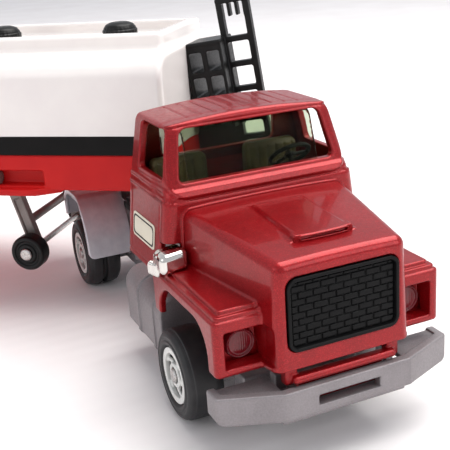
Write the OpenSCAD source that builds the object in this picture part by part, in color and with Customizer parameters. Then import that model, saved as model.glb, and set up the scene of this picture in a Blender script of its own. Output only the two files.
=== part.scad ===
// Toy articulated tanker truck: a die-cast tractor unit and its tank semi-trailer.
// Frame: +X to the tractor's front, +Y to its left, +Z up. The origin lies on the
// kingpin's axis, in the flat underside of the tractor's chassis.
// Inside on_truck(), x is measured forward from the front axle and z up from the ground.
// Inside on_trailer(), x is measured forward from the kingpin and z up from the ground.

/* [Layout] */
// Distance from the kingpin forward to the front axle
kingpin_to_front_axle = 69.15; // [68:0.05:71]
// Distance from the front axle back to the rear axle
wheelbase = 80; // [79:0.5:82]
// Height of the chassis underside above the ground
underside_h = 7; // [6.5:0.1:7]
// Angle of the trailer to the tractor at rest
rest_yaw = 50.5; // [-80:0.5:85]

/* [Wheels] */
// Radius of the road tyres
tyre_r = 9.5; // [9.3:0.1:9.6]
// Radius of the wheel discs
disc_r = 6; // [5.8:0.1:6.2]
// Width of a front tyre
front_tyre_w = 8; // [7:0.5:8]
// Width of a double tyre
rear_tyre_w = 9.5; // [9:0.5:10]
// Radius of a road axle
axle_r = 1; // [0.9:0.05:1.1]
// Radial running clearance of the wheels and the kingpin
running_gap = 0.06; // [0.04:0.01:0.08]
// Outer face of the front wheels from the centre line
front_wheel_out = 24.2; // [24:0.1:24.4]
// Outer face of the rear wheels from the centre line
rear_wheel_out = 21.5; // [21:0.1:21.6]

/* [Cab] */
// Back of the cab, measured from the front axle
cab_back = -26; // [-27:0.5:-25.5]
// Bottom edge of the cab
cab_bottom = 28.3; // [28:0.1:28.5]
// Height of the belt ridge under the side windows
belt_z = 44; // [43.5:0.1:44.5]
// Height of the roof
roof_z = 59.4; // [59:0.1:60]
// Half width at the bottom edge
cab_low_half = 22.9; // [22.5:0.1:23]
// Half width at the belt ridge
cab_belt_half = 21.1; // [20.9:0.1:21.3]
// Half width of the roof
cab_roof_half = 18.2; // [18:0.1:18.4]
// Front of the bonnet
bonnet_front = 27.1; // [26.8:0.1:27.3]
// Half width of the bonnet at its front
bonnet_front_half = 13.4; // [13:0.1:13.8]
// Half width of the bonnet where it meets the cab
bonnet_back_half = 18; // [17.5:0.1:18.2]
// Half width over the front wings
wing_half = 23.6; // [23.4:0.1:23.8]
// Wall thickness of the castings
wall = 1.5; // [1.3:0.1:1.6]

/* [Tank] */
// Front face of the tank ahead of the kingpin
tank_front = 12.8; // [12:0.1:13]
// Back face of the tank behind the kingpin
tank_back = -195; // [-200:1:-192]
// Half width of the tank
tank_half = 25.6; // [25.2:0.1:26]
// Underside of the red base
base_bottom = 34.35; // [34:0.05:34.5]
// Joint between the red base and the white shell
shell_bottom = 43.3; // [43:0.1:43.6]
// Top of the black side band
band_top = 48.1; // [47.8:0.1:48.4]
// Height of the shoulders
shoulder_z = 68.4; // [68:0.1:68.8]
// Top of the coaming around the trough
coaming_z = 70.9; // [70.6:0.1:71.2]
// Half width of the coaming
coaming_half = 16; // [15.6:0.1:16.2]
// Number of filler caps
cap_count = 6; // [4:1:6]
// Distance between filler caps
cap_pitch = 33.5; // [32:0.5:34]
// Radius of a filler cap
cap_r = 4.6; // [4.2:0.1:4.8]

/* [Landing gear] */
// Radius of a landing wheel
landing_r = 4.8; // [4.5:0.1:4.8]
// Landing axle, measured from the kingpin
landing_axle_x = -31.7; // [-32.5:0.1:-31.6]
// Height of the landing axle
landing_axle_z = 14.5; // [14.3:0.1:15]
// Folding pivot, measured from the kingpin
landing_pivot_x = -36.2; // [-37:0.1:-36]
// Height of the folding pivot
landing_pivot_z = 31.4; // [31:0.1:31.6]

/* [Front ladder] */
// Lean of the ladder towards the tank, in degrees
ladder_lean = 7; // [5:0.5:9]
// Distance between its rungs
rung_pitch = 6.3; // [6:0.1:6.5]

/* [Hidden] */
$fn = 48;
eps = 0.01;
bore_fn = 64;
hull_fn = 24;
bore_r = axle_r + running_gap;
fixed_bore_r = axle_r + 0.02;
rear_axle_x = -wheelbase;
kingpin_r = 2;
bogie_axle_x = [-148, -170];
landing_axle_r = 0.8;
pivot_pin_r = 0.9;
landing_wheel_out = 19.8;
lamp_y = 18.4;
lamp_z = 24;
lamp_r = 2.6;
lamp_sink = 3.4;
seat_y = 10.9;
seat_half = 6.2;
seat_top = 48.4;
dash_top = 45.3;
wheel_tilt = 40;
first_cap_x = -6.5;
trough_half = coaming_half - 2.6;
trough_floor = shoulder_z - 0.6;
fifth_wheel_top = 30.6;
rub_plate_bottom = fifth_wheel_top + 0.4;
ledge_front = -20.5;
ledge_half = tank_half + 2.2;
ledge_inner = 21.5;
recess_half = 22.6;
guard_line = [[12.9, 2.1], [12.4, 7], [11.7, 10], [10.2, 13], [7.6, 16.3], [4.6, 17.8], [-4, 17.7],
              [-7.6, 16.4], [-9.2, 13.6], [-9.4, 9.4]];
guard_sheet = 0.9;
label_size = [13, 5.2];
label_x = -15.2;
label_z = 35.8;
side_lean = atan((cab_low_half - cab_belt_half) / (belt_z - cab_bottom));
label_y = cab_low_half - (label_z - cab_bottom) * tan(side_lean) + 0.05;
grille_half = 11.4;
grille_low = 23;
grille_high = 37;

// ---------------------------------------------------------------- placing and helpers

module on_truck()
    translate([kingpin_to_front_axle, 0, -underside_h]) children();

module on_trailer()
    translate([0, 0, -underside_h]) rotate([0, 0, rest_yaw]) children();

// A block between two opposite corners
module block(low, high)
    translate(low) cube(high - low);

// The same piece on both sides of the centre line
module both_sides() {
    children();
    mirror([0, 1, 0]) children();
}

// An outline drawn in Y and Z, drawn out from x0 to x1
module along_x(x0, x1)
    translate([x0, 0, 0]) rotate([90, 0, 90]) linear_extrude(x1 - x0) children();

// An outline drawn in X and Z, drawn out from y0 to y1
module along_y(y0, y1)
    translate([0, y1, 0]) rotate([90, 0, 0]) linear_extrude(y1 - y0) children();

// A thin rounded level rectangle, used as a section of a hull
module section(x0, x1, half, z, r = 1)
    translate([0, 0, z]) linear_extrude(eps)
        translate([x0 + r, -half + r]) offset(r, $fn = hull_fn)
            square([x1 - x0 - 2 * r, 2 * half - 2 * r]);

// A round bar along Y
module bar_y(x, z, y0, y1, r, fn = 48)
    translate([x, y0, z]) rotate([-90, 0, 0]) cylinder(h = y1 - y0, r = r, $fn = fn);

// Points of an arc
function arc(cx, cy, r, a0, a1, n = 8) =
    [for (i = [0:n]) let (a = a0 + (a1 - a0) * i / n) [cx + r * cos(a), cy + r * sin(a)]];

// ---------------------------------------------------------------- tractor body

// The closed outside form of the cab above its bottom edge, shrunk by t
module cab_form(t = 0) {
    hull() {
        section(cab_back + t, -2.9 - t, cab_low_half - t, cab_bottom - (t > 0 ? 8 : 0));
        section(cab_back + t, -2.9 - t, cab_belt_half - t, belt_z);
    }
    hull() {
        section(cab_back + t, -2.9 - t, cab_belt_half - t, belt_z);
        section(cab_back + t, -4.6 - t, cab_belt_half - 0.6 - t, belt_z + 2.6);
    }
    hull() {
        section(cab_back + t, -4.6 - t, cab_belt_half - 0.8 - t, belt_z + 2.5);
        section(cab_back + 0.4 + t, -7.6 - t, cab_roof_half - t, roof_z - 1.6 - t);
        section(cab_back + 1.6 + t, -8.8 - t, cab_roof_half - 1.2 - t, roof_z - t);
    }
}

// The closed outside form of the bonnet, shrunk by t
module bonnet_form(t = 0) {
    hull() {
        section(-4, -3 + eps, bonnet_back_half + 0.6 - t, 30);
        section(bonnet_front - 1 - t, bonnet_front - t, bonnet_front_half + 0.4 - t, 20 - 2 * t, 0.4);
        section(bonnet_front - 1 - t, bonnet_front - t, bonnet_front_half + 0.2 - t, 38.4 - t, 0.4);
        section(bonnet_front - 2.6 - t, bonnet_front - 1.6 - t, bonnet_front_half - 0.8 - t, 40 - t, 0.4);
        section(-4, -3 + eps, bonnet_back_half - t, 41.3 - t, 0.4);
        section(-4, -3 + eps, bonnet_back_half - 1.6 - t, 42.9 - t, 0.4);
        section(-4, -3 + eps, bonnet_back_half + 0.4 - t, 22 - 2 * t, 0.4);
    }
}

// Side outline of a front wing with its wheel arch
module wing_outline()
    polygon(concat(
        [[-8.6, 31.6], [-8.6, 21.2], [-5.2, 21.2]],
        arc(0.6, 22, 5.9, 172, 96, 5),
        arc(12.4, 21.4, 6.6, 84, -18, 6),
        [[22.8, 19.1], [22.8, 29.4], [22.3, 31.4]]
    ));

module wing() {
    along_y(12, wing_half) wing_outline();
    along_y(12, wing_half - 1.2) polygon([[-6, 31], [-6, 32.2], [21.6, 32.2], [22.3, 31]]);
}

module window_cuts() {
    hull() {
        translate([-9, 0, belt_z + 3.4]) cube([14, 32.6, eps], center = true);
        translate([-9, 0, roof_z - 2.2]) cube([14, 29.8, eps], center = true);
    }
    along_y(-30, 30) polygon([[-20.2, 48.2], [-7.4, 48.2], [-9.4, 57], [-20.2, 57]]);
    along_x(cab_back - 3, cab_back + 5) polygon([[-13, 48], [13, 48], [12, 56.5], [-12, 56.5]]);
}

module cab_body() color("darkred") on_truck() {
    difference() {
        union() {
            cab_form();
            bonnet_form();
            both_sides() wing();
        }
        cab_form(wall);
        bonnet_form(wall);
        window_cuts();
        // Grille opening
        along_x(bonnet_front - 3, bonnet_front + 1)
            translate([-grille_half, grille_low]) square([2 * grille_half, grille_high - grille_low]);
        // Headlamp pockets
        both_sides() hull() {
            translate([22.9, lamp_y - 3.9, 20.6]) cube([eps, 7.6, 7.4]);
            translate([22.8 - lamp_sink, lamp_y - 2.9, 21.3]) cube([eps, 5.6, 5.6]);
        }
        // Wheel wells
        both_sides() block([-5, 15.2, 18], [19.3, wing_half - wall, 29.6]);
        both_sides() block([-5, 13.6, 18], [19.3, wing_half - wall, 28]);
        // Slots for the air intakes
        both_sides() block([-6.4, 17.9, 31.2], [0.2, 30, 35.6]);
        // Air slot in the bonnet
        block([14.6, -5.4, 40.2], [15.8, 5.4, 44]);
    }
    // Raised middle of the bonnet
    difference() {
        hull() {
            block([13.4, -5.8, 40.2], [14.4, 5.8, 41.9]);
            block([-3.4, -8.5, 41.6], [-2.9, 8.5, 42.9]);
        }
        block([12.2, -4.8, 41], [15, 4.8, 41.7]);
    }
    // Valance under the grille, and the tongue behind the bumper's slot
    both_sides() block([24.4, 9.4, 16.2], [26.2, 12, 21]);
    block([25.4, -10.8, 16.7], [27.6, 10.8, 18.3]);
    block([24.4, -9.5, 11.6], [25.4, 9.5, 18.3]);
    // Fixing bosses that stand down to the chassis
    both_sides() block([10, 10.6, 13.15], [14, 15, 30]);
    both_sides() block([-24.2, 8.6, 22.8], [-21, 12.4, 29]);
    both_sides() block([-25.6, 8.6, 28.3], [-21, 22.4, 29.8]);
}

// Clear plastic windows, moulded as one lining for the cab
module cab_glazing() color("darkseagreen", 0.5) on_truck() difference() {
    intersection() {
        cab_form(wall + 0.05);
        block([-40, -30, belt_z + 1.4], [0, 30, roof_z - 1.7]);
    }
    cab_form(wall + 0.9);
    block([-30, -30, belt_z], [cab_back + 3, -14, 60]);
    block([-30, 14, belt_z], [cab_back + 3, 30, 60]);
}

module seat(y) translate([0, y, 0]) {
    block([-22.6, -seat_half, 35.1], [-12.6, seat_half, 39.4]);
    block([-23.4, -seat_half, 35.1], [-20.6, seat_half, seat_top]);
}

// Seats, floor and dashboard in one moulding
module cab_interior() color("darkolivegreen") on_truck() {
    seat(-seat_y);
    seat(seat_y);
    block([-24.3, -17.4, 33.8], [-5.2, 17.4, 35.2]);
    block([-8.6, -17.4, 35.1], [-5.4, 17.4, dash_top]);
    block([-22.6, 12, 29.8], [-19.4, 14, 34]);
    block([-22.6, -14, 29.8], [-19.4, -12, 34]);
}

module steering_wheel() color("black") on_truck()
    translate([-12.3, seat_y, 46.9]) rotate([0, -wheel_tilt, 0]) {
        rotate_extrude() translate([4.3, 0]) circle(0.5, $fn = 16);
        translate([0, 0, -0.4]) cylinder(h = 0.8, r = 1.1);
        for (a = [90, 210, 330]) rotate([0, 0, a]) block([0.6, -0.35, -0.35], [4.1, 0.35, 0.35]);
        translate([0, 0, -3.5]) cylinder(h = 3.4, r = 0.6);
    }

// Black plastic grille with a brick pattern of bars
module grille() color("black") on_truck() {
    bar = 0.5;
    rows = 9;
    columns = 7;
    row_h = (grille_high - grille_low - 2.2) / rows;
    col_w = (2 * grille_half - 2.2) / columns;
    along_x(bonnet_front - 1.4, bonnet_front - 0.9)
        translate([-grille_half + 0.05, grille_low + 0.05])
            square([2 * grille_half - 0.1, grille_high - grille_low - 0.1]);
    along_x(bonnet_front - 1, bonnet_front + 0.3) difference() {
        translate([-grille_half + 0.05, grille_low + 0.05])
            square([2 * grille_half - 0.1, grille_high - grille_low - 0.1]);
        translate([-grille_half + 1, grille_low + 1])
            square([2 * grille_half - 2, grille_high - grille_low - 2]);
    }
    for (r = [1:rows - 1])
        block([bonnet_front - 1, -grille_half + 0.9, grille_low + 1.1 + r * row_h - bar / 2],
              [bonnet_front, grille_half - 0.9, grille_low + 1.1 + r * row_h + bar / 2]);
    for (r = [0:rows - 1])
        for (c = [1:columns - (r % 2 == 0 ? 1 : 0)])
            block([bonnet_front - 1, -grille_half + 1.1 + (c - (r % 2) / 2) * col_w - bar / 2,
                   grille_low + 1 + r * row_h],
                  [bonnet_front - 0.2, -grille_half + 1.1 + (c - (r % 2) / 2) * col_w + bar / 2,
                   grille_low + 1.2 + (r + 1) * row_h]);
}

module headlamps() color("darkred") on_truck() both_sides()
    translate([22.8 - lamp_sink, lamp_y, lamp_z]) rotate([0, 90, 0]) {
        cylinder(h = 1.1, r = lamp_r - 0.5);
        cylinder(h = 0.7, r = lamp_r);
    }

// Plated boxes that stand out through the slots beside the bonnet
module air_intakes() color("silver") on_truck() both_sides() {
    hull() {
        block([-5.6, 18.4, 31.6], [-0.2, 20, 35.2]);
        block([-5.2, 23.7, 31.9], [-0.8, 24.4, 34.4]);
    }
    block([-8.2, wing_half + 0.05, 29.4], [-2.4, 24.4, 32.4]);
}

// Plain rectangular labels on the doors, leaning with the cab's sides
module door_labels() color("white") on_truck() both_sides()
    translate([label_x, label_y, label_z]) rotate([side_lean, 0, 0])
        along_y(0, 0.25) translate([-label_size[0] / 2, -label_size[1] / 2]) square(label_size);

// ---------------------------------------------------------------- tractor chassis

// Half of the fuel tank outline in Y and Z, grown by g
module fuel_tank_outline(g = 0)
    polygon(concat([[9, underside_h], [20.6 + g, underside_h], [22 + g, underside_h + 1.6]],
                   arc(18, 17.4, 4 + g, 0, 90, 8), [[9, 21.4 + g]]));

module bumper() {
    difference() {
        translate([0, 0, 10.6]) linear_extrude(5.6) polygon([
            [28.5, -13.1], [28.5, 13.1], [23.8, 24.6], [19.4, 24.6], [19.4, 22.8], [22.6, 22.8],
            [26.3, 12.2], [26.3, -12.2], [22.6, -22.8], [19.4, -22.8], [19.4, -24.6], [23.8, -24.6]]);
        // Slot in the middle, and the clipped lower corners
        block([20, -6.5, 12.2], [30, 6.5, 14.2]);
        both_sides() along_x(10, 27) polygon([[22.4, 10], [26, 10], [26, 13.6]]);
    }
    // Shelf behind the wings of the bumper
    both_sides() translate([0, 0, 14.9]) linear_extrude(1) polygon(
        [[25.9, 12.6], [22.8, 22.6], [19.6, 22.6], [19.6, 12.6]]);
    both_sides() block([19.6, 12.4, 7.6], [21.2, 14.2, 15.8]);
}

module tractor_chassis() color("gray") on_truck() difference() {
    union() {
        // Flat spine
        block([-92, -9, underside_h], [21.2, 9, 9.6]);
        block([-30, -14, underside_h], [-14, 14, 9.6]);
        both_sides() block([14, 8, underside_h], [21.2, 14.2, 9.6]);
        block([20, -13, 9], [26.6, 13, 11.4]);
        bumper();
        // Side rails
        both_sides() block([-92, 6.6, 9], [-22, 9, 22.4]);
        both_sides() block([-30, 6.6, 9], [16, 9, 13]);
        both_sides() block([9.8, 8.4, 9], [14.2, 14.8, 13.1]);
        both_sides() block([-25, 8.4, 9], [-20.6, 12.6, 22.7]);
        // Bearing blocks of the axles
        block([-3.4, -15.2, underside_h], [3.4, 15.2, 13]);
        block([rear_axle_x - 3.4, -11, underside_h], [rear_axle_x + 3.4, 11, 13]);
        // Fuel tanks with their straps
        both_sides() along_x(-34, -11) fuel_tank_outline();
        both_sides() for (x = [-26, -16]) along_x(x, x + 1.2) fuel_tank_outline(0.35);
        // Cross members
        block([-60, -9, 18], [-57, 9, 22.4]);
        block([-92, -9, 9], [-90, 9, 22.4]);
        block([-36, -9, 18], [-33, 9, 22.4]);
    }
    bar_y(0, tyre_r, -20, 20, fixed_bore_r, bore_fn);
    bar_y(rear_axle_x, tyre_r, -20, 20, fixed_bore_r, bore_fn);
    // Rivet holes through the spine
    for (x = [-50, 8]) translate([x, 0, underside_h - 1]) cylinder(h = 4, r = 1.6);
}

module chassis_rivets() color("silver") on_truck()
    for (x = [-50, 8]) translate([x, 0, underside_h + 0.2]) {
        cylinder(h = 3.4, r = 1.5);
        translate([0, 0, 2.45]) cylinder(h = 1.4, r = 2.4);
    }

module rear_mudguards() color("darkgray") on_truck() {
    both_sides() along_y(9.6, 21.8) translate([rear_axle_x, tyre_r]) polygon(concat(
        guard_line,
        [for (i = [len(guard_line) - 1 : -1 : 0])
            guard_line[i] * (1 - guard_sheet / norm(guard_line[i]))]));
    both_sides() block([rear_axle_x - 6, 6.6, 22.45], [rear_axle_x + 6, 10, 23.2]);
    both_sides() block([rear_axle_x - 6, 9.2, 21.4], [rear_axle_x + 6, 10, 26.9]);
}

// Turntable plate with the hole for the kingpin
module fifth_wheel() color("dimgray") on_truck() difference() {
    translate([-kingpin_to_front_axle, 0, 0]) {
        translate([0, 0, fifth_wheel_top - 2.2]) cylinder(h = 2.2, r = 10.5, $fn = bore_fn);
        block([-3.9, -6, 23.2], [8, 6, fifth_wheel_top - 2.1]);
        block([-4.5, -9, 22.45], [8.5, 9, 24.4]);
        block([-2, -9, 22.45], [8.5, 9, 26]);
    }
    translate([-kingpin_to_front_axle, 0, 24.6]) {
        cylinder(h = 10, r = kingpin_r + running_gap, $fn = bore_fn);
    }
}

// A steel axle with a spread head outside each wheel
module axle(x, out, r = axle_r) {
    bar_y(x, tyre_r, -out, out, r, bore_fn);
    both_sides() bar_y(x, tyre_r, out - 0.1, out + 0.5, r + 0.45, bore_fn);
}

module front_axle() color("silver") on_truck() axle(0, front_wheel_out - 0.7);
module rear_axle() color("silver") on_truck() axle(rear_axle_x, rear_wheel_out - 0.7);

// ---------------------------------------------------------------- wheels

// A road tyre whose outer face stands at out from the centre line, side -1 or 1
module tyre(x, out, w, side, grooves = 0) scale([1, side, 1])
    translate([x, out, tyre_r]) rotate([90, 0, 0]) rotate_extrude($fn = 96) difference() {
        polygon([[disc_r, 0.5], [disc_r + 0.6, 0], [tyre_r - 1.6, 0.1], [tyre_r - 0.5, 0.5],
                 [tyre_r, 1.3], [tyre_r, w - 1.3], [tyre_r - 0.5, w - 0.5],
                 [tyre_r - 1.6, w - 0.1], [disc_r, w]]);
        if (grooves > 0) translate([tyre_r - 1.2, w / 2 - 0.5]) square([3, 1]);
    }

// A wheel disc with its bore for the axle
module hub(x, out, w, side, inner = 0.7) scale([1, side, 1])
    translate([x, out, tyre_r]) rotate([90, 0, 0]) rotate_extrude($fn = bore_fn)
        polygon([[bore_r, 1.1], [2, 1.1], [2.3, 2], [4.6, 2], [4.8, 0.4], [disc_r, 0.4],
                 [disc_r, w], [4.8, w], [4.8, w - 2.4], [2.4, w - 2.4], [2.4, w + inner],
                 [bore_r, w + inner]]);

module front_tyre_right() color("black") on_truck() tyre(0, front_wheel_out, front_tyre_w, -1);
module front_tyre_left() color("black") on_truck() tyre(0, front_wheel_out, front_tyre_w, 1);
module front_hub_right() color("white") on_truck() hub(0, front_wheel_out, front_tyre_w, -1, 0.6);
module front_hub_left() color("white") on_truck() hub(0, front_wheel_out, front_tyre_w, 1, 0.6);
module rear_tyre_right() color("black") on_truck() tyre(rear_axle_x, rear_wheel_out, rear_tyre_w, -1, 1);
module rear_tyre_left() color("black") on_truck() tyre(rear_axle_x, rear_wheel_out, rear_tyre_w, 1, 1);
module rear_hub_right() color("white") on_truck() hub(rear_axle_x, rear_wheel_out, rear_tyre_w, -1);
module rear_hub_left() color("white") on_truck() hub(rear_axle_x, rear_wheel_out, rear_tyre_w, 1);

// ---------------------------------------------------------------- trailer

// Outline of half the tank above the red base, shrunk by t
function tank_points(t = 0) = concat(
    [[0, shell_bottom], [tank_half - t, shell_bottom]],
    arc(tank_half - 5.6, 61.4, 5.6 - t, 0, 68, 8),
    [[coaming_half - t, shoulder_z - t], [0, shoulder_z - t]]);

module tank_outline(t = 0) {
    polygon(tank_points(t));
    mirror([1, 0]) polygon(tank_points(t));
}

module tank_shell() color("white") on_trailer() difference() {
    union() {
        along_x(tank_back, tank_front) tank_outline();
        block([tank_back + 3, -coaming_half, shell_bottom + 2],
              [tank_front - 2, coaming_half, coaming_z]);
    }
    // Hollow inside, and the trough along the top
    along_x(tank_back + wall, tank_front - wall)
        intersection() {
            tank_outline(wall);
            translate([-40, shell_bottom - 1]) square([80, trough_floor - wall - shell_bottom + 1]);
        }
    block([tank_back + wall, -tank_half + wall, shell_bottom - 1],
          [tank_front - wall, tank_half - wall, shell_bottom + 3]);
    block([tank_back + 6, -trough_half, trough_floor], [tank_front - 4.4, trough_half, 80]);
    for (i = [0:cap_count - 1])
        translate([first_cap_x - i * cap_pitch, 0, trough_floor - wall - 1]) cylinder(h = 8, r = 2);
}

module trailer_base() color("firebrick") on_trailer() difference() {
    union() {
        block([tank_back, -tank_half, base_bottom], [tank_front, tank_half, shell_bottom]);
        both_sides() translate([0, 0, base_bottom - 1]) linear_extrude(1.7)
            polygon([[tank_back + 6, ledge_inner], [ledge_front + 3, ledge_inner], [ledge_front + 3, tank_half],
                     [ledge_front, ledge_half], [tank_back + 6, ledge_half]]);
        // Rubbing plate over the fifth wheel
        translate([0, 0, rub_plate_bottom]) cylinder(h = base_bottom - rub_plate_bottom + 1, r = 9.5);
        // Lugs for the landing gear's pivot
        both_sides() block([landing_pivot_x - 2.4, 8.6, landing_pivot_z - 2.4],
                           [landing_pivot_x + 2.4, 11.8, base_bottom + 1]);
    }
    block([tank_back + wall + 1.5, -recess_half + wall, base_bottom + 2],
          [tank_front - wall, recess_half - wall, shell_bottom + 1]);
    // Long recess above each ledge
    both_sides() block([tank_back + 8, recess_half, base_bottom + 1.1],
                       [ledge_front, 40, base_bottom + 5]);
    bar_y(landing_pivot_x, landing_pivot_z, -20, 20, pivot_pin_r + 0.02, bore_fn);
    translate([0, 0, rub_plate_bottom - 1]) cylinder(h = 12, r = kingpin_r + 0.02, $fn = bore_fn);
}

module side_bands() color("black") on_trailer() both_sides()
    block([tank_back + 0.4, tank_half, shell_bottom + 0.05], [tank_front - 0.4, tank_half + 0.12, band_top]);

module filler_caps() color("black") on_trailer() for (i = [0:cap_count - 1])
    translate([first_cap_x - i * cap_pitch, 0, trough_floor]) {
        translate([0, 0, -wall]) cylinder(h = wall + 1, r = 1.9);
        rotate_extrude() polygon([[0, 0], [cap_r, 0], [cap_r, 3.6], [cap_r - 0.7, 4.5],
                                  [cap_r - 2.4, 5.1], [0, 5.3]]);
    }

// Ladder and its stand, drawn in X and Z about the foot of the ladder
module ladder_outline() difference() {
    union() {
        translate([11.2, -20]) square([8.4, 41.6]);
        translate([0, -20]) square([12, 32]);
    }
    for (i = [0:5]) translate([12.6, -17.9 + i * rung_pitch - 1.6]) square([5.6, 4.9]);
    for (i = [0:2]) translate([12.7 + i * 2, 13.6]) square([1.3, 6.6]);
}

module front_ladder() color("black") on_trailer() difference() {
    translate([tank_front - 1.6, 0, 54]) rotate([0, -ladder_lean, 0]) difference() {
        union() {
            along_y(-1.2, 1.2) ladder_outline();
            along_y(-5.5, 5.5) translate([2.2, -10]) square([9.8, 22]);
        }
        // Openings through the stand
        for (x = [3.4, 8]) for (i = [0:2])
            along_y(-7, 7) translate([x, -7.8 + i * rung_pitch]) square([3.2, 4.9]);
    }
    // The stand ends against the tank's front face
    block([-30, -20, 0], [tank_front, 20, 100]);
}

module kingpin() color("silver") on_trailer() {
    translate([0, 0, 25.4]) cylinder(h = base_bottom - 25.4 + 2, r = kingpin_r, $fn = bore_fn);
    translate([0, 0, base_bottom + 2]) cylinder(h = 1, r = kingpin_r + 1);
}

module delivery_pipes() color("gray") on_trailer() both_sides() {
    translate([tank_back + 30, recess_half + 1.75, base_bottom + 2.95]) rotate([0, 90, 0])
        cylinder(h = -33 - tank_back - 30, r = 1.3);
    for (x = [-35.5, tank_back + 30])
        translate([x, recess_half + 1.75, base_bottom + 2.95]) rotate([0, 90, 0])
            cylinder(h = 2.5, r = 1.75);
}

module bogie_frame() color("gray") on_trailer() difference() {
    union() {
        block([-190, -12, base_bottom - 4], [-136, 12, base_bottom]);
        both_sides() block([-180, 8.4, underside_h], [-138, 11.4, base_bottom - 3]);
        block([-162, -9, 12], [-156, 9, base_bottom - 3]);
        both_sides() for (x = bogie_axle_x) block([x - 2.6, 8.4, underside_h], [x + 2.6, 12.4, 14]);
        // Rear bumper bar on its two brackets
        both_sides() block([-190, 9, 18], [-188, 11, base_bottom]);
        block([-191, -22, 15], [-188, 22, 18.4]);
    }
    for (x = bogie_axle_x) bar_y(x, tyre_r, -20, 20, fixed_bore_r, bore_fn);
}

module base_rivets() color("silver") on_trailer()
    for (x = [-55, -115]) translate([x, 0, base_bottom - 0.9]) {
        cylinder(h = 0.9, r = 2.6);
    }

module trailer_axle(x) color("silver") on_trailer() axle(x, rear_wheel_out + 0.8);
module trailer_front_axle() trailer_axle(bogie_axle_x[0]);
module trailer_rear_axle() trailer_axle(bogie_axle_x[1]);

module trailer_tyre(x, side) color("black") on_trailer()
    tyre(x, rear_wheel_out + 1.5, rear_tyre_w, side, 1);
module trailer_hub(x, side) color("white") on_trailer()
    hub(x, rear_wheel_out + 1.5, rear_tyre_w, side, 0.7);
module trailer_tyre_front_right() trailer_tyre(bogie_axle_x[0], -1);
module trailer_tyre_front_left() trailer_tyre(bogie_axle_x[0], 1);
module trailer_tyre_rear_right() trailer_tyre(bogie_axle_x[1], -1);
module trailer_tyre_rear_left() trailer_tyre(bogie_axle_x[1], 1);
module trailer_hub_front_right() trailer_hub(bogie_axle_x[0], -1);
module trailer_hub_front_left() trailer_hub(bogie_axle_x[0], 1);
module trailer_hub_rear_right() trailer_hub(bogie_axle_x[1], -1);
module trailer_hub_rear_left() trailer_hub(bogie_axle_x[1], 1);

// ---------------------------------------------------------------- landing gear

// Side outline of one leg, from the pivot's eye to the axle's eye
module leg_outline() {
    reach = [landing_axle_x - landing_pivot_x, landing_axle_z - landing_pivot_z];
    lean = atan2(reach[0], -reach[1]);
    translate([landing_pivot_x, landing_pivot_z]) {
        circle(2.1, $fn = bore_fn);
        rotate(lean) translate([-1.7, -norm(reach)]) square([3.4, norm(reach)]);
    }
    translate([landing_axle_x, landing_axle_z]) circle(1.9, $fn = bore_fn);
}

module landing_legs() color("dimgray") on_trailer() difference() {
    union() {
        both_sides() along_y(12.2, 14.6) leg_outline();
        // Cross bar between the legs
        bar_y(landing_axle_x - 1.9, landing_axle_z + 7, -13, 13, 1.1);
    }
    bar_y(landing_pivot_x, landing_pivot_z, -20, 20, pivot_pin_r + running_gap, bore_fn);
    bar_y(landing_axle_x, landing_axle_z, -20, 20, landing_axle_r + 0.02, bore_fn);
}

module landing_pivot_pin() color("silver") on_trailer() {
    bar_y(landing_pivot_x, landing_pivot_z, -15, 15, pivot_pin_r, bore_fn);
    both_sides() bar_y(landing_pivot_x, landing_pivot_z, 14.9, 15.6, pivot_pin_r + 0.7, bore_fn);
}

module landing_axle() color("silver") on_trailer() {
    bar_y(landing_axle_x, landing_axle_z, -20.2, 20.2, landing_axle_r, bore_fn);
    both_sides() bar_y(landing_axle_x, landing_axle_z, 20.1, 20.7, landing_axle_r + 0.9, bore_fn);
}

module landing_wheel(side) color("black") on_trailer() scale([1, side, 1])
    translate([landing_axle_x, landing_wheel_out, landing_axle_z]) rotate([90, 0, 0])
        rotate_extrude($fn = bore_fn)
            polygon([[landing_axle_r + running_gap, 0], [2.6, 0], [2.9, 0.5], [3.3, 0.5], [3.6, 0],
                     [landing_r - 0.5, 0], [landing_r, 0.5], [landing_r, 4],
                     [landing_r - 0.5, 4.5], [landing_axle_r + running_gap, 4.5]]);
module landing_wheel_right() landing_wheel(-1);
module landing_wheel_left() landing_wheel(1);

// ---------------------------------------------------------------- which nodes are drawn

cab_body();
cab_glazing();
cab_interior();
steering_wheel();
grille();
headlamps();
air_intakes();
door_labels();
tractor_chassis();
chassis_rivets();
rear_mudguards();
fifth_wheel();
front_axle();
rear_axle();
front_tyre_right();
front_hub_right();
front_tyre_left();
front_hub_left();
rear_tyre_right();
rear_hub_right();
rear_tyre_left();
rear_hub_left();
tank_shell();
trailer_base();
side_bands();
filler_caps();
front_ladder();
kingpin();
delivery_pipes();
bogie_frame();
base_rivets();
trailer_front_axle();
trailer_rear_axle();
trailer_tyre_front_right();
trailer_hub_front_right();
trailer_tyre_front_left();
trailer_hub_front_left();
trailer_tyre_rear_right();
trailer_hub_rear_right();
trailer_tyre_rear_left();
trailer_hub_rear_left();
landing_legs();
landing_pivot_pin();
landing_axle();
landing_wheel_right();
landing_wheel_left();
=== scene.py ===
"""Toy articulated tanker truck: the looks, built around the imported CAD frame.

Lengths in this script are millimetres until a mesh is made. Two local frames are used:
the truck's (x forward from the front axle, y left, z up from the ground) and the
trailer's (x forward from the kingpin, turned by the trailer's angle at rest).
"""
import math

import bmesh
import bpy
import numpy as np
from mathutils import Matrix, Vector
from numpy import concatenate, hypot, interp, maximum, minimum


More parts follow.
